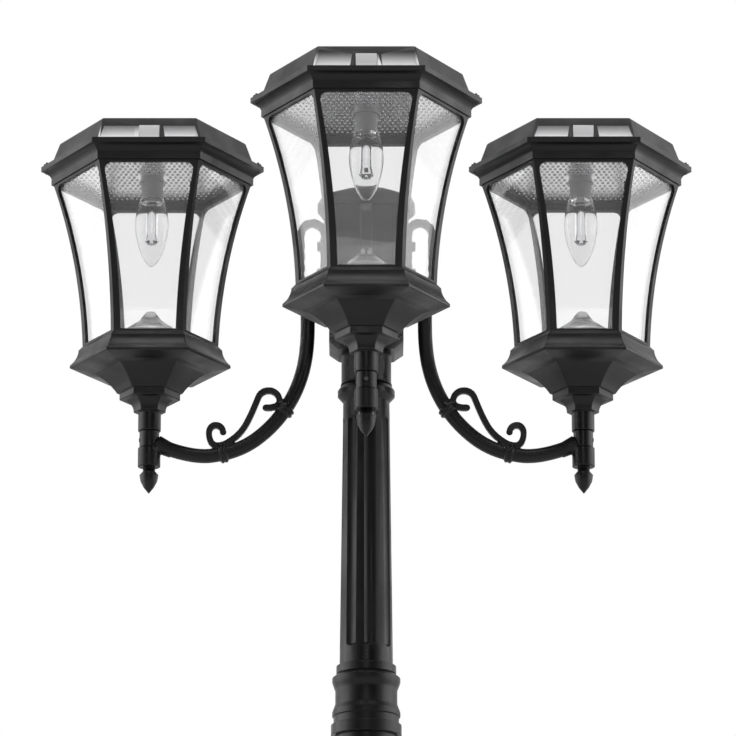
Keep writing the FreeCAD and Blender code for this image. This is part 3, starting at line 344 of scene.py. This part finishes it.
@dataclass(frozen=True)
class Grained(Finish):
    """Powder coat or moulded plastic with a fine grain."""

    grain: float = 700.0
    depth: float = 0.0002
    strength: float = 0.5
    spread: float = 0.12
    mottle: float = 0.3
    patches: Pair = (0.3, 0.7)

    def dress(self, pen: NodePen, surface: bpy.types.Node, output: bpy.types.Node) -> None:
        """Feed the grain into the normal, the roughness and the colour."""
        grain = pen.group("fine_grain", grain_group, Scale=self.grain)
        bump = pen.add("ShaderNodeBump", Strength=self.strength, Distance=self.depth)
        pen.feed(bump.inputs["Height"], grain["Height"])
        pen.feed(surface.inputs["Normal"], bump.outputs[0])
        limits = (self.roughness - self.spread, self.roughness + self.spread)
        pen.feed(surface.inputs["Roughness"], pen.span(grain["Mottle"], self.patches, limits))
        pen.feed(surface.inputs["Base Color"], self.tint(pen, grain["Mottle"]))

    def tint(self, pen: NodePen, mottle: bpy.types.NodeSocket) -> bpy.types.NodeSocket:
        """Make the colour a little darker and lighter in places.

        Args:
            pen: Writer on the material's tree.
            mottle: How light the coat is at the shaded point.

        Returns:
            The colour.
        """
        dark, light = ([part * share for part in self.color]
                       for share in (1.0 - self.mottle, 1.0 + self.mottle))
        return pen.blend(mottle, dark, light)


@dataclass(frozen=True)
class Glass(Finish):
    """Clear glass or plastic that lets shadow rays through."""

    ior: float = 1.45
    clearness: float = 1.0

    def dress(self, pen: NodePen, surface: bpy.types.Node, output: bpy.types.Node) -> None:
        """Make the surface transmit, and pass light to what stands behind it."""
        surface.inputs["Transmission Weight"].default_value = self.clearness
        surface.inputs["IOR"].default_value = self.ior
        clear = pen.add("ShaderNodeBsdfTransparent")
        rays = pen.add("ShaderNodeLightPath").outputs
        passing = pen.math("MAXIMUM", rays["Is Shadow Ray"], rays["Is Diffuse Ray"])
        mix = pen.add("ShaderNodeMixShader")
        pen.feed(mix.inputs[0], passing)
        pen.feed(mix.inputs[1], surface.outputs[0])
        pen.feed(mix.inputs[2], clear.outputs[0])
        pen.feed(output.inputs["Surface"], mix.outputs[0])


@dataclass(frozen=True)
class Shaded(Grained):
    """Moulding that turns from one colour at its foot to another at its head; on the cap's hollows
    this is a painted reflection.
    """

    head_color: Triple = (0.02, 0.02, 0.02)
    foot: float = 0.0
    head: float = 1.0

    def tint(self, pen: NodePen, mottle: bpy.types.NodeSocket) -> bpy.types.NodeSocket:
        """Blend the colours by height instead of by the grain."""
        share = pen.span(pen.place()["Z"], (self.foot, self.head), ease="SMOOTHSTEP")
        return pen.blend(share, self.color, self.head_color)


@dataclass(frozen=True)
class Mirror(Finish):
    """Bright metal sheet, or the same metal darkened on the dimples as a painted dark reflection.
    """

    def dress(self, pen: NodePen, surface: bpy.types.Node, output: bpy.types.Node) -> None:
        """Make the surface metal."""
        surface.inputs["Metallic"].default_value = 1.0


@dataclass(frozen=True)
class SolarCell(Finish):
    """Dark cells with thin bright lines, under a clear cover."""

    pitch: float = 0.026
    width: float = 0.00035
    line_color: Triple = (0.35, 0.36, 0.38)
    cover_roughness: float = 0.05

    def dress(self, pen: NodePen, surface: bpy.types.Node, output: bpy.types.Node) -> None:
        """Draw the lines over the cells."""
        cells = pen.group("cell_lines", cell_group, Pitch=self.pitch, Width=self.width)
        tone = pen.blend(cells["Line"], self.color, self.line_color)
        pen.feed(surface.inputs["Base Color"], tone)
        surface.inputs["Coat Weight"].default_value = 1.0
        surface.inputs["Coat Roughness"].default_value = self.cover_roughness


@dataclass(frozen=True)
class PaleFloor(Finish):
    """Pale floor that shows white to the eye, in gloss and through glass, and takes shadows."""

    glow: float = 0.55

    def dress(self, pen: NodePen, surface: bpy.types.Node, output: bpy.types.Node) -> None:
        """Add the glow that only camera, glossy and transmission rays see."""
        rays = pen.add("ShaderNodeLightPath").outputs
        seen = pen.math("MAXIMUM", rays["Is Camera Ray"],
                        pen.math("MAXIMUM", rays["Is Glossy Ray"], rays["Is Transmission Ray"]))
        glow = pen.add("ShaderNodeEmission")
        pen.feed(glow.inputs["Strength"], pen.math("MULTIPLY", seen, self.glow))
        both = pen.add("ShaderNodeAddShader")
        pen.feed(both.inputs[0], surface.outputs[0])
        pen.feed(both.inputs[1], glow.outputs[0])
        pen.feed(output.inputs["Surface"], both.outputs[0])


BLACK_COAT = Grained("black_powder_coat", "black_paint", (0.005, 0.005, 0.0052), 0.39, gloss=0.27)
BLACK_SCREW = Grained("black_screw_coat", "black_screw", (0.02, 0.02, 0.021), 0.34, depth=0.00005)
# Light at the foot of the cap's hollows and dark at the top: a painted reflection.
SCOOP_PAINTED_REFLECTION = Shaded("scoop_painted_reflection", "black_paint", (0.9, 0.9, 0.91), 0.24, gloss=0.25, depth=0.00002,
               head_color=(0.05, 0.05, 0.05), foot=SCOOP_FOOT, head=SCOOP_SHADE)
PANE_GLASS = Glass("clear_pane", "pane_glass", (0.985, 0.985, 0.985), 0.0, ior=1.25, clearness=0.94)
CUT_GLASS = Glass("cut_glass", "crystal_glass", (0.985, 0.985, 0.985), 0.0, ior=1.22,
                  clearness=0.82)
# Grey copy of the crystal's glass for its top cone: painted shade.
CUT_TIP_PAINTED_SHADE = Glass("cut_tip_painted_shade", "crystal_glass", (0.52, 0.53, 0.52), 0.1, ior=1.25)
LAMP_GLASS = Glass("blown_lamp_glass", "lamp_glass", (0.92, 0.92, 0.925), 0.0, ior=1.22)
CLEAR_PLASTIC = Glass("light_guide", "clear_plastic", (0.88, 0.88, 0.89), 0.03, ior=1.49)
HOLDER_PLASTIC = Glass("moulded_holder", "holder_plastic", (0.42, 0.42, 0.43), 0.28, ior=1.4,
                       clearness=0.55)
FROSTED = Shaded("frosted_window", "frosted_plastic", (0.96, 0.96, 0.97), 0.5, depth=0.00005,
                 head_color=(0.8, 0.8, 0.81), foot=SCOOP_FOOT, head=SCOOP_FOOT + 0.004)
CELLS = SolarCell("solar_cells", "solar_cell", (0.01, 0.014, 0.035), 0.35)
MIRROR = Mirror("mirror_face", "mirror_sheet", (0.97, 0.97, 0.975), 0.3)
# The dimples are the mirror's own metal made darker: a painted dark reflection.
PAINTED_DARK_DIMPLES = Mirror("mirror_dimple", "mirror_sheet", (0.36, 0.36, 0.37), 0.12)
BATTERY = Grained("battery_moulding", "battery_case", (0.08, 0.08, 0.085), 0.5)
FLOOR = PaleFloor("pale_floor", "", (0.45, 0.45, 0.45), 0.9)


# Pieces ------------------------------------------------------------------------------------------

def dress(piece: bpy.types.Object, finish: Finish) -> None:
    """Give a piece one finish all over.

    Args:
        piece: Mesh object.
        finish: What it is finished in.
    """
    piece.data.materials.clear()
    piece.data.materials.append(finish.material())


def soften(piece: bpy.types.Object, width: float, angle: float = EDGE_ANGLE) -> None:
    """Round the edges of a piece and smooth its curved faces.

    Args:
        piece: Mesh object.
        width: Width of the rounding in metres, or 0 for smoothing alone.
        angle: Smallest angle in degrees that counts as an edge.
    """
    piece.data.shade_smooth()
    piece.data.set_sharp_from_angle(angle=math.radians(angle))
    if width:
        bevel = piece.modifiers.new("rounded_edges", "BEVEL")
        bevel.width = width
        bevel.segments = 2
        bevel.limit_method = "ANGLE"
        bevel.angle_limit = math.radians(angle)
        bevel.use_clamp_overlap = True
    even = piece.modifiers.new("even_shading", "WEIGHTED_NORMAL")
    even.keep_sharp = True


def cast(node: str, body: str, finish: Finish, width: float = 0.0,
         angle: float = EDGE_ANGLE) -> bpy.types.Object:
    """Take a casting from its solid, merged and with rounded edges.

    Args:
        node: Name of the CAD node.
        body: Name of the body it rides on.
        finish: What it is finished in.
        width: Width of the rounded edges in metres, or 0 for none.
        angle: Smallest angle in degrees that counts as an edge.

    Returns:
        The new piece, which stands for the node.
    """
    piece = place(f"{node}_cast", merged(node), body, finish)
    soften(piece, width, angle)
    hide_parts(node)
    return piece


def merged(node: str) -> bpy.types.Mesh:
    """Copy a solid's mesh with its loose triangles joined.

    Args:
        node: Name of the CAD node.

    Returns:
        The joined mesh.
    """
    mesh = bpy.data.objects[node].data.copy()
    work = bmesh.new()
    work.from_mesh(mesh)
    bmesh.ops.remove_doubles(work, verts=work.verts, dist=WELD_REACH)
    bmesh.ops.dissolve_limit(work, angle_limit=FLAT_ANGLE, verts=work.verts, edges=work.edges)
    work.to_mesh(mesh)
    work.free()
    return mesh


def place(name: str, mesh: bpy.types.Mesh, body: str, finish: Finish) -> bpy.types.Object:
    """Put a finished mesh in the scene.

    Args:
        name: Name of the new piece.
        mesh: Its mesh, already in place.
        body: Name of the body it rides on.
        finish: What it is finished in.

    Returns:
        The new piece.
    """
    piece = bpy.data.objects.new(name, mesh)
    bpy.context.scene.collection.objects.link(piece)
    dress(piece, finish)
    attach(piece, body)
    return piece


def baked(piece: bpy.types.Object) -> bpy.types.Mesh:
    """Apply a scratch object's modifiers and take the object away.

    Args:
        piece: Scratch object with modifiers.

    Returns:
        The plain mesh.
    """
    graph = bpy.context.evaluated_depsgraph_get()
    mesh = bpy.data.meshes.new_from_object(piece.evaluated_get(graph))
    bpy.data.objects.remove(piece)
    return mesh


def scratch(mesh: bpy.types.Mesh) -> bpy.types.Object:
    """Link a mesh as a scratch object that takes modifiers.

    Args:
        mesh: The mesh to work on.

    Returns:
        The scratch object.
    """
    piece = bpy.data.objects.new("scratch", mesh)
    bpy.context.scene.collection.objects.link(piece)
    return piece


def lathe(name: str, profile: list[Pair], foot: Vector, segments: int = 64) -> bpy.types.Mesh:
    """Turn a profile about an upright axis.

    Args:
        name: Name of the mesh.
        profile: Radii and heights, from pole to pole round the section.
        foot: Where the axis meets height zero.
        segments: Number of facets round the axis.

    Returns:
        The closed mesh with its faces outwards.
    """
    work = bmesh.new()
    rings = []
    for radius, up in profile:
        if radius < WELD_REACH:
            rings.append([work.verts.new((foot.x, foot.y, foot.z + up))])
            continue
        turns = (2.0 * math.pi * index / segments for index in range(segments))
        rings.append([work.verts.new((foot.x + radius * math.cos(turn),
                                      foot.y + radius * math.sin(turn), foot.z + up))
                      for turn in turns])
    for one, two in zip(rings, rings[1:]):
        for index in range(segments):
            ahead = (index + 1) % segments
            corners = (one[index % len(one)], one[ahead % len(one)],
                       two[ahead % len(two)], two[index % len(two)])
            work.faces.new(dict.fromkeys(corners))
    bmesh.ops.recalc_face_normals(work, faces=work.faces)
    mesh = bpy.data.meshes.new(name)
    work.to_mesh(mesh)
    work.free()
    return mesh


def flowing(points: list[Pair], steps: int = 6) -> list[Pair]:
    """Run a smooth curve through a few points.

    Args:
        points: Radii and heights.
        steps: Number of parts between two points.

    Returns:
        The points of the curve.
    """
    known = np.array([points[0], *points, points[-1]])
    curve = []
    for before, start, end, after in zip(known, known[1:], known[2:], known[3:]):
        for share in np.arange(steps) / steps:
            square = 2.0 * before - 5.0 * start + 4.0 * end - after
            cube = 3.0 * start - before - 3.0 * end + after
            curve.append(tuple(0.5 * (2.0 * start + (end - before) * share
                                      + square * share ** 2 + cube * share ** 3)))
    return [*curve, points[-1]]


def keep(node: str, finish: Finish) -> None:
    """Leave a CAD node as it is and give it its finish.

    Args:
        node: Name of the CAD node.
        finish: What it is finished in.
    """
    dress(bpy.data.objects[node], finish)


@dataclass(frozen=True)
class ArmCasting:
    """Scrolled arm recast with the soft edges and fillets of sand-cast metal."""

    voxel: float = 0.0008
    rounds: int = 7
    smoothing: Pair = (0.5, -0.52)
    bore_reach: Pair = (0.005, BORE_RADIUS + 0.0012)
    bore_foot: float = SOCKET_FLOOR + 0.0005
    lumps: tuple[Triple, ...] = ((0.1693, 0.0430, 0.0041), (0.1191, 0.0728, 0.0040))

    def mesh(self) -> bpy.types.Mesh:
        """Cast the arm that points right.

        Returns:
            The mesh, in place.
        """
        work = bmesh.new()
        work.from_mesh(merged("arm_right"))
        for across, up, radius in self.lumps:
            bmesh.ops.create_uvsphere(work, u_segments=20, v_segments=12, radius=radius,
                                      matrix=Matrix.Translation((across, 0.0, SOCKET_FOOT + up)))
        rough = bpy.data.meshes.new("arm_rough")
        work.to_mesh(rough)
        work.free()
        piece = scratch(rough)
        remesh = piece.modifiers.new("skin", "REMESH")
        remesh.mode = "VOXEL"
        remesh.voxel_size = self.voxel
        cast_mesh = baked(piece)
        self.relax(cast_mesh)
        cast_mesh.shade_smooth()
        return cast_mesh

    def relax(self, mesh: bpy.types.Mesh) -> None:
        """Round the edges without thinning the bars, and keep the bore true.

        Args:
            mesh: The cast mesh.
        """
        count = len(mesh.vertices)
        points = np.empty(count * 3, dtype=np.float32)
        mesh.vertices.foreach_get("co", points)
        points = points.reshape(-1, 3).astype(np.float64)
        ends = np.empty(len(mesh.edges) * 2, dtype=np.int32)
        mesh.edges.foreach_get("vertices", ends)
        one, two = ends[0::2], ends[1::2]
        links = np.bincount(ends, minlength=count)
        for share in self.smoothing * self.rounds:
            for axis in range(3):
                sums = np.bincount(one, points[two, axis], count)
                sums += np.bincount(two, points[one, axis], count)
                points[:, axis] += share * (sums / links - points[:, axis])
        across, deep, level = points[:, 0] - ARM_REACH, points[:, 1], points[:, 2] - SOCKET_FOOT
        radius = np.hypot(across, deep)
        inner, outer = self.bore_reach
        bored = (radius < outer) & (radius > inner) & (level > self.bore_foot)
        points[bored, 0] = ARM_REACH + across[bored] * BORE_RADIUS / radius[bored]
        points[bored, 1] = deep[bored] * BORE_RADIUS / radius[bored]
        mesh.vertices.foreach_set("co", points.astype(np.float32).ravel())
        mesh.update()


@dataclass(frozen=True)
class DimpleField:
    """Staggered dimples of a hexagonal mirror sheet, as Geometry Nodes."""

    sizes: tuple[tuple[str, float], ...] = (
        ("Pitch", 0.0062), ("Radius", 0.0021), ("Depth", 0.0011), ("Stretch", 2.0),
        ("Flat", 0.0997), ("Hole", 0.0195))
    seed: int = 7
    cover: float = 2.4
    edge_room: float = 1.2
    segments: int = 8
    rings: int = 4
    scatter: Pair = (0.85, 1.1)

    def tree(self) -> bpy.types.NodeTree:
        """Build the node tree once.

        Returns:
            The tree, with Pitch, Radius, Depth, Stretch, Flat, Hole, Seed and Finish in.
        """
        tree = bpy.data.node_groups.new("mirror_dimples", "GeometryNodeTree")
        for name, _ in self.sizes:
            tree.interface.new_socket(name, in_out="INPUT", socket_type="NodeSocketFloat")
        tree.interface.new_socket("Seed", in_out="INPUT", socket_type="NodeSocketInt")
        tree.interface.new_socket("Finish", in_out="INPUT", socket_type="NodeSocketMaterial")
        tree.interface.new_socket("Geometry", in_out="OUTPUT", socket_type="NodeSocketGeometry")
        pen = NodePen(tree)
        given = pen.add("NodeGroupInput").outputs
        row_pitch = pen.math("MULTIPLY", given["Pitch"],
                             pen.math("MULTIPLY", given["Stretch"], ROW_SHARE))
        grid = pen.add("GeometryNodeMeshGrid")
        field_size = pen.math("MULTIPLY", given["Flat"], self.cover)
        for letter, pitch in (("X", given["Pitch"]), ("Y", row_pitch)):
            count = pen.math("ROUND", pen.math("DIVIDE", field_size, pitch))
            pen.feed(grid.inputs[f"Size {letter}"], pen.math("MULTIPLY", count, pitch))
            pen.feed(grid.inputs[f"Vertices {letter}"], pen.math("ADD", count, 1.0))
        spot = pen.split(pen.add("GeometryNodeInputPosition").outputs[0])
        row = pen.math("ROUND", pen.math("DIVIDE", spot["Y"], row_pitch))
        step = pen.add("ShaderNodeCombineXYZ")
        pen.feed(step.inputs["X"], pen.math("MULTIPLY", pen.math("MODULO", row, 2.0),
                                            pen.math("MULTIPLY", given["Pitch"], 0.5)))
        shift = pen.add("GeometryNodeSetPosition")
        pen.feed(shift.inputs["Geometry"], grid.outputs["Mesh"])
        pen.feed(shift.inputs["Offset"], step.outputs[0])
        cull = pen.add("GeometryNodeDeleteGeometry", domain="POINT")
        pen.feed(cull.inputs["Geometry"], shift.outputs[0])
        pen.feed(cull.inputs["Selection"], self.outside(pen, given, spot))
        bead = pen.add("GeometryNodeMeshUVSphere", Segments=self.segments, Rings=self.rings)
        pen.feed(bead.inputs["Radius"], given["Radius"])
        draw = pen.add("FunctionNodeRandomValue", data_type="FLOAT")
        draw.inputs[2].default_value, draw.inputs[3].default_value = self.scatter
        pen.feed(draw.inputs["Seed"], given["Seed"])
        flatness = pen.add("ShaderNodeCombineXYZ")
        pen.feed(flatness.inputs["X"], draw.outputs[1])
        pen.feed(flatness.inputs["Y"], pen.math("MULTIPLY", draw.outputs[1], given["Stretch"]))
        pen.feed(flatness.inputs["Z"], pen.math("DIVIDE", given["Depth"], given["Radius"]))
        spread_out = pen.add("GeometryNodeInstanceOnPoints")
        pen.feed(spread_out.inputs["Points"], cull.outputs[0])
        pen.feed(spread_out.inputs["Instance"], bead.outputs["Mesh"])
        pen.feed(spread_out.inputs["Scale"], flatness.outputs[0])
        solid = pen.add("GeometryNodeRealizeInstances")
        pen.feed(solid.inputs[0], spread_out.outputs[0])
        smooth = pen.add("GeometryNodeSetShadeSmooth")
        pen.feed(smooth.inputs["Geometry"], solid.outputs[0])
        coat = pen.add("GeometryNodeSetMaterial")
        pen.feed(coat.inputs["Geometry"], smooth.outputs[0])
        pen.feed(coat.inputs["Material"], given["Finish"])
        pen.feed(pen.add("NodeGroupOutput").inputs["Geometry"], coat.outputs[0])
        return tree

    def outside(self, pen: NodePen, given: bpy.types.bpy_prop_collection,
                spot: bpy.types.bpy_prop_collection) -> bpy.types.NodeSocket:
        """Tell which points lie over the sheet's edge or its hole.

        Args:
            pen: Writer on the tree.
            given: The tree's inputs.
            spot: Sockets X, Y and Z of a point's place.

        Returns:
            One where the point goes.
        """
        across, deep = (pen.math("ABSOLUTE", spot[axis]) for axis in ("X", "Y"))
        slant = pen.math("ADD", pen.math("MULTIPLY", across, ROW_SHARE),
                         pen.math("MULTIPLY", deep, 0.5))
        half = pen.math("MULTIPLY", given["Radius"], given["Stretch"])
        room = pen.math("SUBTRACT", given["Flat"], pen.math("MULTIPLY", half, self.edge_room))
        beyond = pen.math("GREATER_THAN", pen.math("MAXIMUM", deep, slant), room)
        reach = pen.math("SQRT", pen.math("ADD", pen.math("MULTIPLY", across, across),
                                          pen.math("MULTIPLY", deep, deep)))
        return pen.math("MAXIMUM", beyond, pen.math("LESS_THAN", reach, given["Hole"]))

    def mesh(self, finish: Finish) -> bpy.types.Mesh:
        """Make the dimples about the origin.

        Args:
            finish: What they are finished in.

        Returns:
            One plain mesh.
        """
        piece = scratch(bpy.data.meshes.new("dimple_seed"))
        nodes = piece.modifiers.new("dimples", "NODES")
        nodes.node_group = self.tree()
        values = dict(self.sizes) | {"Seed": self.seed, "Finish": finish.material()}
        for item in nodes.node_group.interface.items_tree:
            if item.in_out == "INPUT":
                nodes[item.identifier] = values[item.name]
        return baked(piece)


@dataclass(frozen=True)
class CandleGlass:
    """Blown glass of the lamp, open at its neck."""

    outline: tuple[Pair, ...] = (
        (0.0146, 0.0), (0.0162, -0.0055), (0.0188, -0.0165), (0.0202, -0.0305), (0.0191, -0.0435),
        (0.0159, -0.058), (0.0113, -0.0705), (0.0064, -0.0787), (0.0031, -0.0818), (0.0, -0.083))
    wall: float = 0.0011
    tip_share: float = 1.4
    least_radius: float = 0.0004
    crease: float = 60.0

    def mesh(self, neck: Vector) -> bpy.types.Mesh:
        """Blow the glass below its neck.

        Args:
            neck: Middle of the neck's rim.

        Returns:
            The mesh of both walls.
        """
        outer = flowing(list(self.outline))
        slopes = np.gradient(np.array(outer), axis=0)
        tip = outer[-1][1] + self.wall * self.tip_share
        inner = []
        for (radius, up), (out, along) in zip(outer[:-1], slopes):
            length = np.hypot(out, along)
            point = (radius + self.wall * along / length, up - self.wall * out / length)
            if point[1] > tip and point[0] > self.least_radius:
                inner.append(point)
        return lathe("candle_glass", [*reversed(outer), *inner, (0.0, tip)], neck)


@dataclass
class Post:
    """Everything that stands still: base, shafts, collar, hub, arms and small fasteners."""

    rounding: dict[str, float] = field(default_factory=lambda: {
        "base_casting": 0.0015, "lower_shaft": 0.0006, "mid_collar": 0.0006, "upper_shaft": 0.0006,
        "hub": 0.0015, "hub_cap": 0.0008})
    turned: dict[str, float] = field(default_factory=lambda: {
        "mid_collar": 44.0, "hub_cap": 40.0, "finial": 42.0})

    def build(self) -> None:
        """Dress the post's castings and fasteners."""
        for node, width in self.rounding.items():
            cast(node, "post", BLACK_COAT, width, self.turned.get(node, EDGE_ANGLE))
        arm = ArmCasting().mesh()
        for side in Side:
            mesh = arm.copy()
            mesh.transform(Matrix.Rotation(math.radians(side.value), 4, "Z"))
            piece = place(f"arm_{side.label}_cast", mesh, "post", BLACK_COAT)
            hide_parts(f"arm_{side.label}")
            cast(f"finial_{side.label}", "post", BLACK_COAT, angle=self.turned["finial"])
        for node in ("hub_cap_screw", "arm_bolts", "stem_set_screws"):
            keep(node, BLACK_SCREW)


@dataclass
class Lantern:
    """One lantern below its roof."""

    side: Side
    cup_edge: float = 0.0012
    cage_edge: float = 0.0008
    facet_angle: float = 5.0

    def build(self) -> None:
        """Dress the cup, the cage and the glass."""
        label = self.side.label
        body = f"lantern_{label}"
        cast(f"cup_{label}", body, BLACK_COAT, self.cup_edge)
        cast(f"cage_{label}", body, BLACK_COAT, self.cage_edge)
        cast(f"glass_panes_{label}", body, PANE_GLASS)
        keep(f"pane_clip_{label}", BLACK_COAT)
        crystal = cast(f"crystal_{label}", body, CUT_GLASS, angle=self.facet_angle)
        # Faces above the waist take the grey glass, a painted shade.
        crystal.data.materials.append(CUT_TIP_PAINTED_SHADE.material())
        for face in crystal.data.polygons:
            face.material_index = int(face.center.z > CRYSTAL_WAIST)


@dataclass
class Roof:
    """One lantern's roof with its solar cap and the lamp that hangs from it."""

    side: Side
    dimples: bpy.types.Mesh
    roof_edge: float = 0.0012
    cap_edge: float = 0.0009
    window_edge: float = 0.0006
    holder_edge: float = 0.0004
    hollow_across: Pair = (0.0155, 0.0585)
    hollow_deep: Pair = (-0.1025, -0.085)
    hollow_up: Pair = (SCOOP_FOOT - 0.001, SCOOP_HEAD + 0.001)

    def build(self) -> None:
        """Dress the roof, the cap and the lamp."""
        label = self.side.label
        body = f"lantern_roof_{label}"
        cast(f"roof_{label}", body, BLACK_COAT, self.roof_edge)
        # The cap's hollows carry a painted reflection.
        self.paint_scoop_reflection(cast(f"solar_cap_{label}", body, BLACK_COAT, self.cap_edge))
        cast(f"solar_panel_{label}", body, CELLS)
        cast(f"sensor_window_{label}", body, FROSTED, self.window_edge)
        keep(f"roof_screws_{label}", BLACK_SCREW)
        cast(f"reflector_{label}", body, MIRROR)
        dimples = self.dimples.copy()
        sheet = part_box(f"reflector_{label}")[0][2]
        dimples.transform(Matrix.Translation((self.side.axis.x, self.side.axis.y, sheet)))
        # The dimples take the darker metal, a painted dark reflection.
        place(f"reflector_{label}_dimples", dimples, body, PAINTED_DARK_DIMPLES)
        cast(f"bulb_holder_{label}", body, HOLDER_PLASTIC, self.holder_edge)
        cast(f"bulb_core_{label}", body, CLEAR_PLASTIC)
        neck = Vector((self.side.axis.x, self.side.axis.y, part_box(f"bulb_glass_{label}")[1][2]))
        candle = CandleGlass()
        glass = place(f"bulb_glass_{label}_blown", candle.mesh(neck), body, LAMP_GLASS)
        soften(glass, 0.0, candle.crease)
        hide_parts(f"bulb_glass_{label}")
        keep(f"battery_pack_{label}", BATTERY)

    def paint_scoop_reflection(self, cap: bpy.types.Object) -> None:
        """Paint a reflection on the two hollows in the front of the cap, light at the foot and dark
        at the top.

        Args:
            cap: The cap's piece.
        """
        cap.data.materials.append(SCOOP_PAINTED_REFLECTION.material())
        for face in cap.data.polygons:
            spot = face.center - self.side.axis
            reaches = ((abs(spot.x), self.hollow_across), (spot.y, self.hollow_deep),
                       (face.center.z, self.hollow_up))
            if all(low < value < high for value, (low, high) in reaches):
                face.material_index = 1


@dataclass(frozen=True)
class Softbox:
    """Square soft lamp."""

    name: str
    spot: Triple
    size: float
    power: float

    def hang(self, target: Vector) -> None:
        """Put the lamp in the scene.

        Args:
            target: Point that it faces.
        """
        light = bpy.data.lights.new(self.name, "AREA")
        light.size = self.size
        light.energy = self.power
        lamp = bpy.data.objects.new(self.name, light)
        lamp.location = self.spot
        lamp.rotation_euler = (target - Vector(self.spot)).to_track_quat("-Z", "Y").to_euler()
        bpy.context.scene.collection.objects.link(lamp)


@dataclass
class Studio:
    """Floor, white surround, soft lamps and the camera."""

    eye: Triple = (0.002, -6.0, 0.3018)
    pitch: float = 15.87
    lens: float = 257.2
    sensor: float = 36.0
    floor_radius: float = 30.0
    floor_sides: int = 96
    fill: float = 0.36
    front: float = 0.02
    walls: tuple[tuple[str, float, float, float], ...] = (
        ("X", 0.45, 0.9, 1.0), ("Y", 0.05, 0.6, 1.0), ("Z", 0.4, 0.9, 0.3))
    lit_point: Triple = (0.0, 0.0, 1.9)
    lamps: tuple[Softbox, ...] = (
        Softbox("left_softbox", (-3.0, 0.1, 2.2), 3.0, 62.0),
        Softbox("right_softbox", (3.0, 0.1, 2.2), 3.0, 62.0),
        Softbox("top_softbox", (0.0, -1.0, 4.2), 1.6, 30.0),
        Softbox("front_softbox", (0.0, -5.0, 3.4), 1.2, 16.0))

    def build(self) -> None:
        """Set up the studio."""
        self.camera()
        self.floor()
        self.surround()
        for lamp in self.lamps:
            lamp.hang(Vector(self.lit_point))
        bpy.context.scene.view_settings.view_transform = "Standard"

    def camera(self) -> None:
        """Place the camera at the photograph's height and pitch."""
        camera = bpy.data.objects.new("camera", bpy.data.cameras.new("camera"))
        camera.location = self.eye
        camera.rotation_euler = (math.radians(90.0 + self.pitch), 0.0, 0.0)
        camera.data.lens = self.lens
        camera.data.sensor_width = self.sensor
        bpy.context.scene.collection.objects.link(camera)
        bpy.context.scene.camera = camera

    def floor(self) -> None:
        """Lay the pale floor."""
        mesh = bpy.data.meshes.new("floor")
        turns = (2.0 * math.pi * index / self.floor_sides for index in range(self.floor_sides))
        rim = [(self.floor_radius * math.cos(turn), self.floor_radius * math.sin(turn), 0.0)
               for turn in turns]
        mesh.from_pydata(rim, [], [range(self.floor_sides)])
        floor = bpy.data.objects.new("floor", mesh)
        bpy.context.scene.collection.objects.link(floor)
        dress(floor, FLOOR)
        floor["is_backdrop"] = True

    def surround(self) -> None:
        """Show white to the eye, in gloss and through glass, and light the object evenly."""
        world = bpy.data.worlds.new("surround")
        bpy.context.scene.world = world
        world.use_nodes = True
        world.node_tree.nodes.clear()
        pen = NodePen(world.node_tree)
        rays = pen.add("ShaderNodeLightPath").outputs
        seen = pen.math("MAXIMUM", rays["Is Camera Ray"], rays["Is Transmission Ray"])
        gloss = pen.math("MULTIPLY", rays["Is Glossy Ray"], self.studio_walls(pen))
        even = pen.math("MULTIPLY", pen.math("SUBTRACT", 1.0, rays["Is Glossy Ray"]), self.fill)
        back = pen.add("ShaderNodeBackground")
        back.inputs["Color"].default_value = (1.0, 1.0, 1.0, 1.0)
        pen.feed(back.inputs["Strength"], pen.math("MAXIMUM", seen, pen.math("ADD", gloss, even)))
        output = pen.add("ShaderNodeOutputWorld")
        pen.feed(output.inputs["Surface"], back.outputs[0])

    def studio_walls(self, pen: NodePen) -> bpy.types.NodeSocket:
        """Give what gloss sees: white sides and back, a dim ceiling and a dark front.

        Args:
            pen: Writer on the world's tree.

        Returns:
            The brightness in the ray's direction.
        """
        heading = pen.place("Generated")
        bright = self.front
        for axis, start, end, most in self.walls:
            toward = pen.math("ABSOLUTE", heading[axis]) if axis == "X" else heading[axis]
            wall = pen.span(toward, (start, end), (0.0, most), ease="SMOOTHSTEP")
            bright = pen.math("MAXIMUM", bright, wall)
        return bright


def note_size(sizes: list[list[float]]) -> None:
    low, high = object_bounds()
    sizes.append([list(low), list(high)])


def main() -> None:
    """Build every sub-assembly in order."""
    logging.basicConfig(level=logging.INFO, format="%(name)s: %(message)s")
    sizes: list[list[float]] = []
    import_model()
    note_size(sizes)
    Studio().build()
    Post().build()
    # The dimples are made in the darker metal, a painted dark reflection.
    dimples = DimpleField().mesh(PAINTED_DARK_DIMPLES)
    for side in Side:
        Lantern(side).build()
        Roof(side, dimples).build()
        LOG.info("lantern %s built", side.label)
    note_size(sizes)


if __name__ == "__main__":
    main()
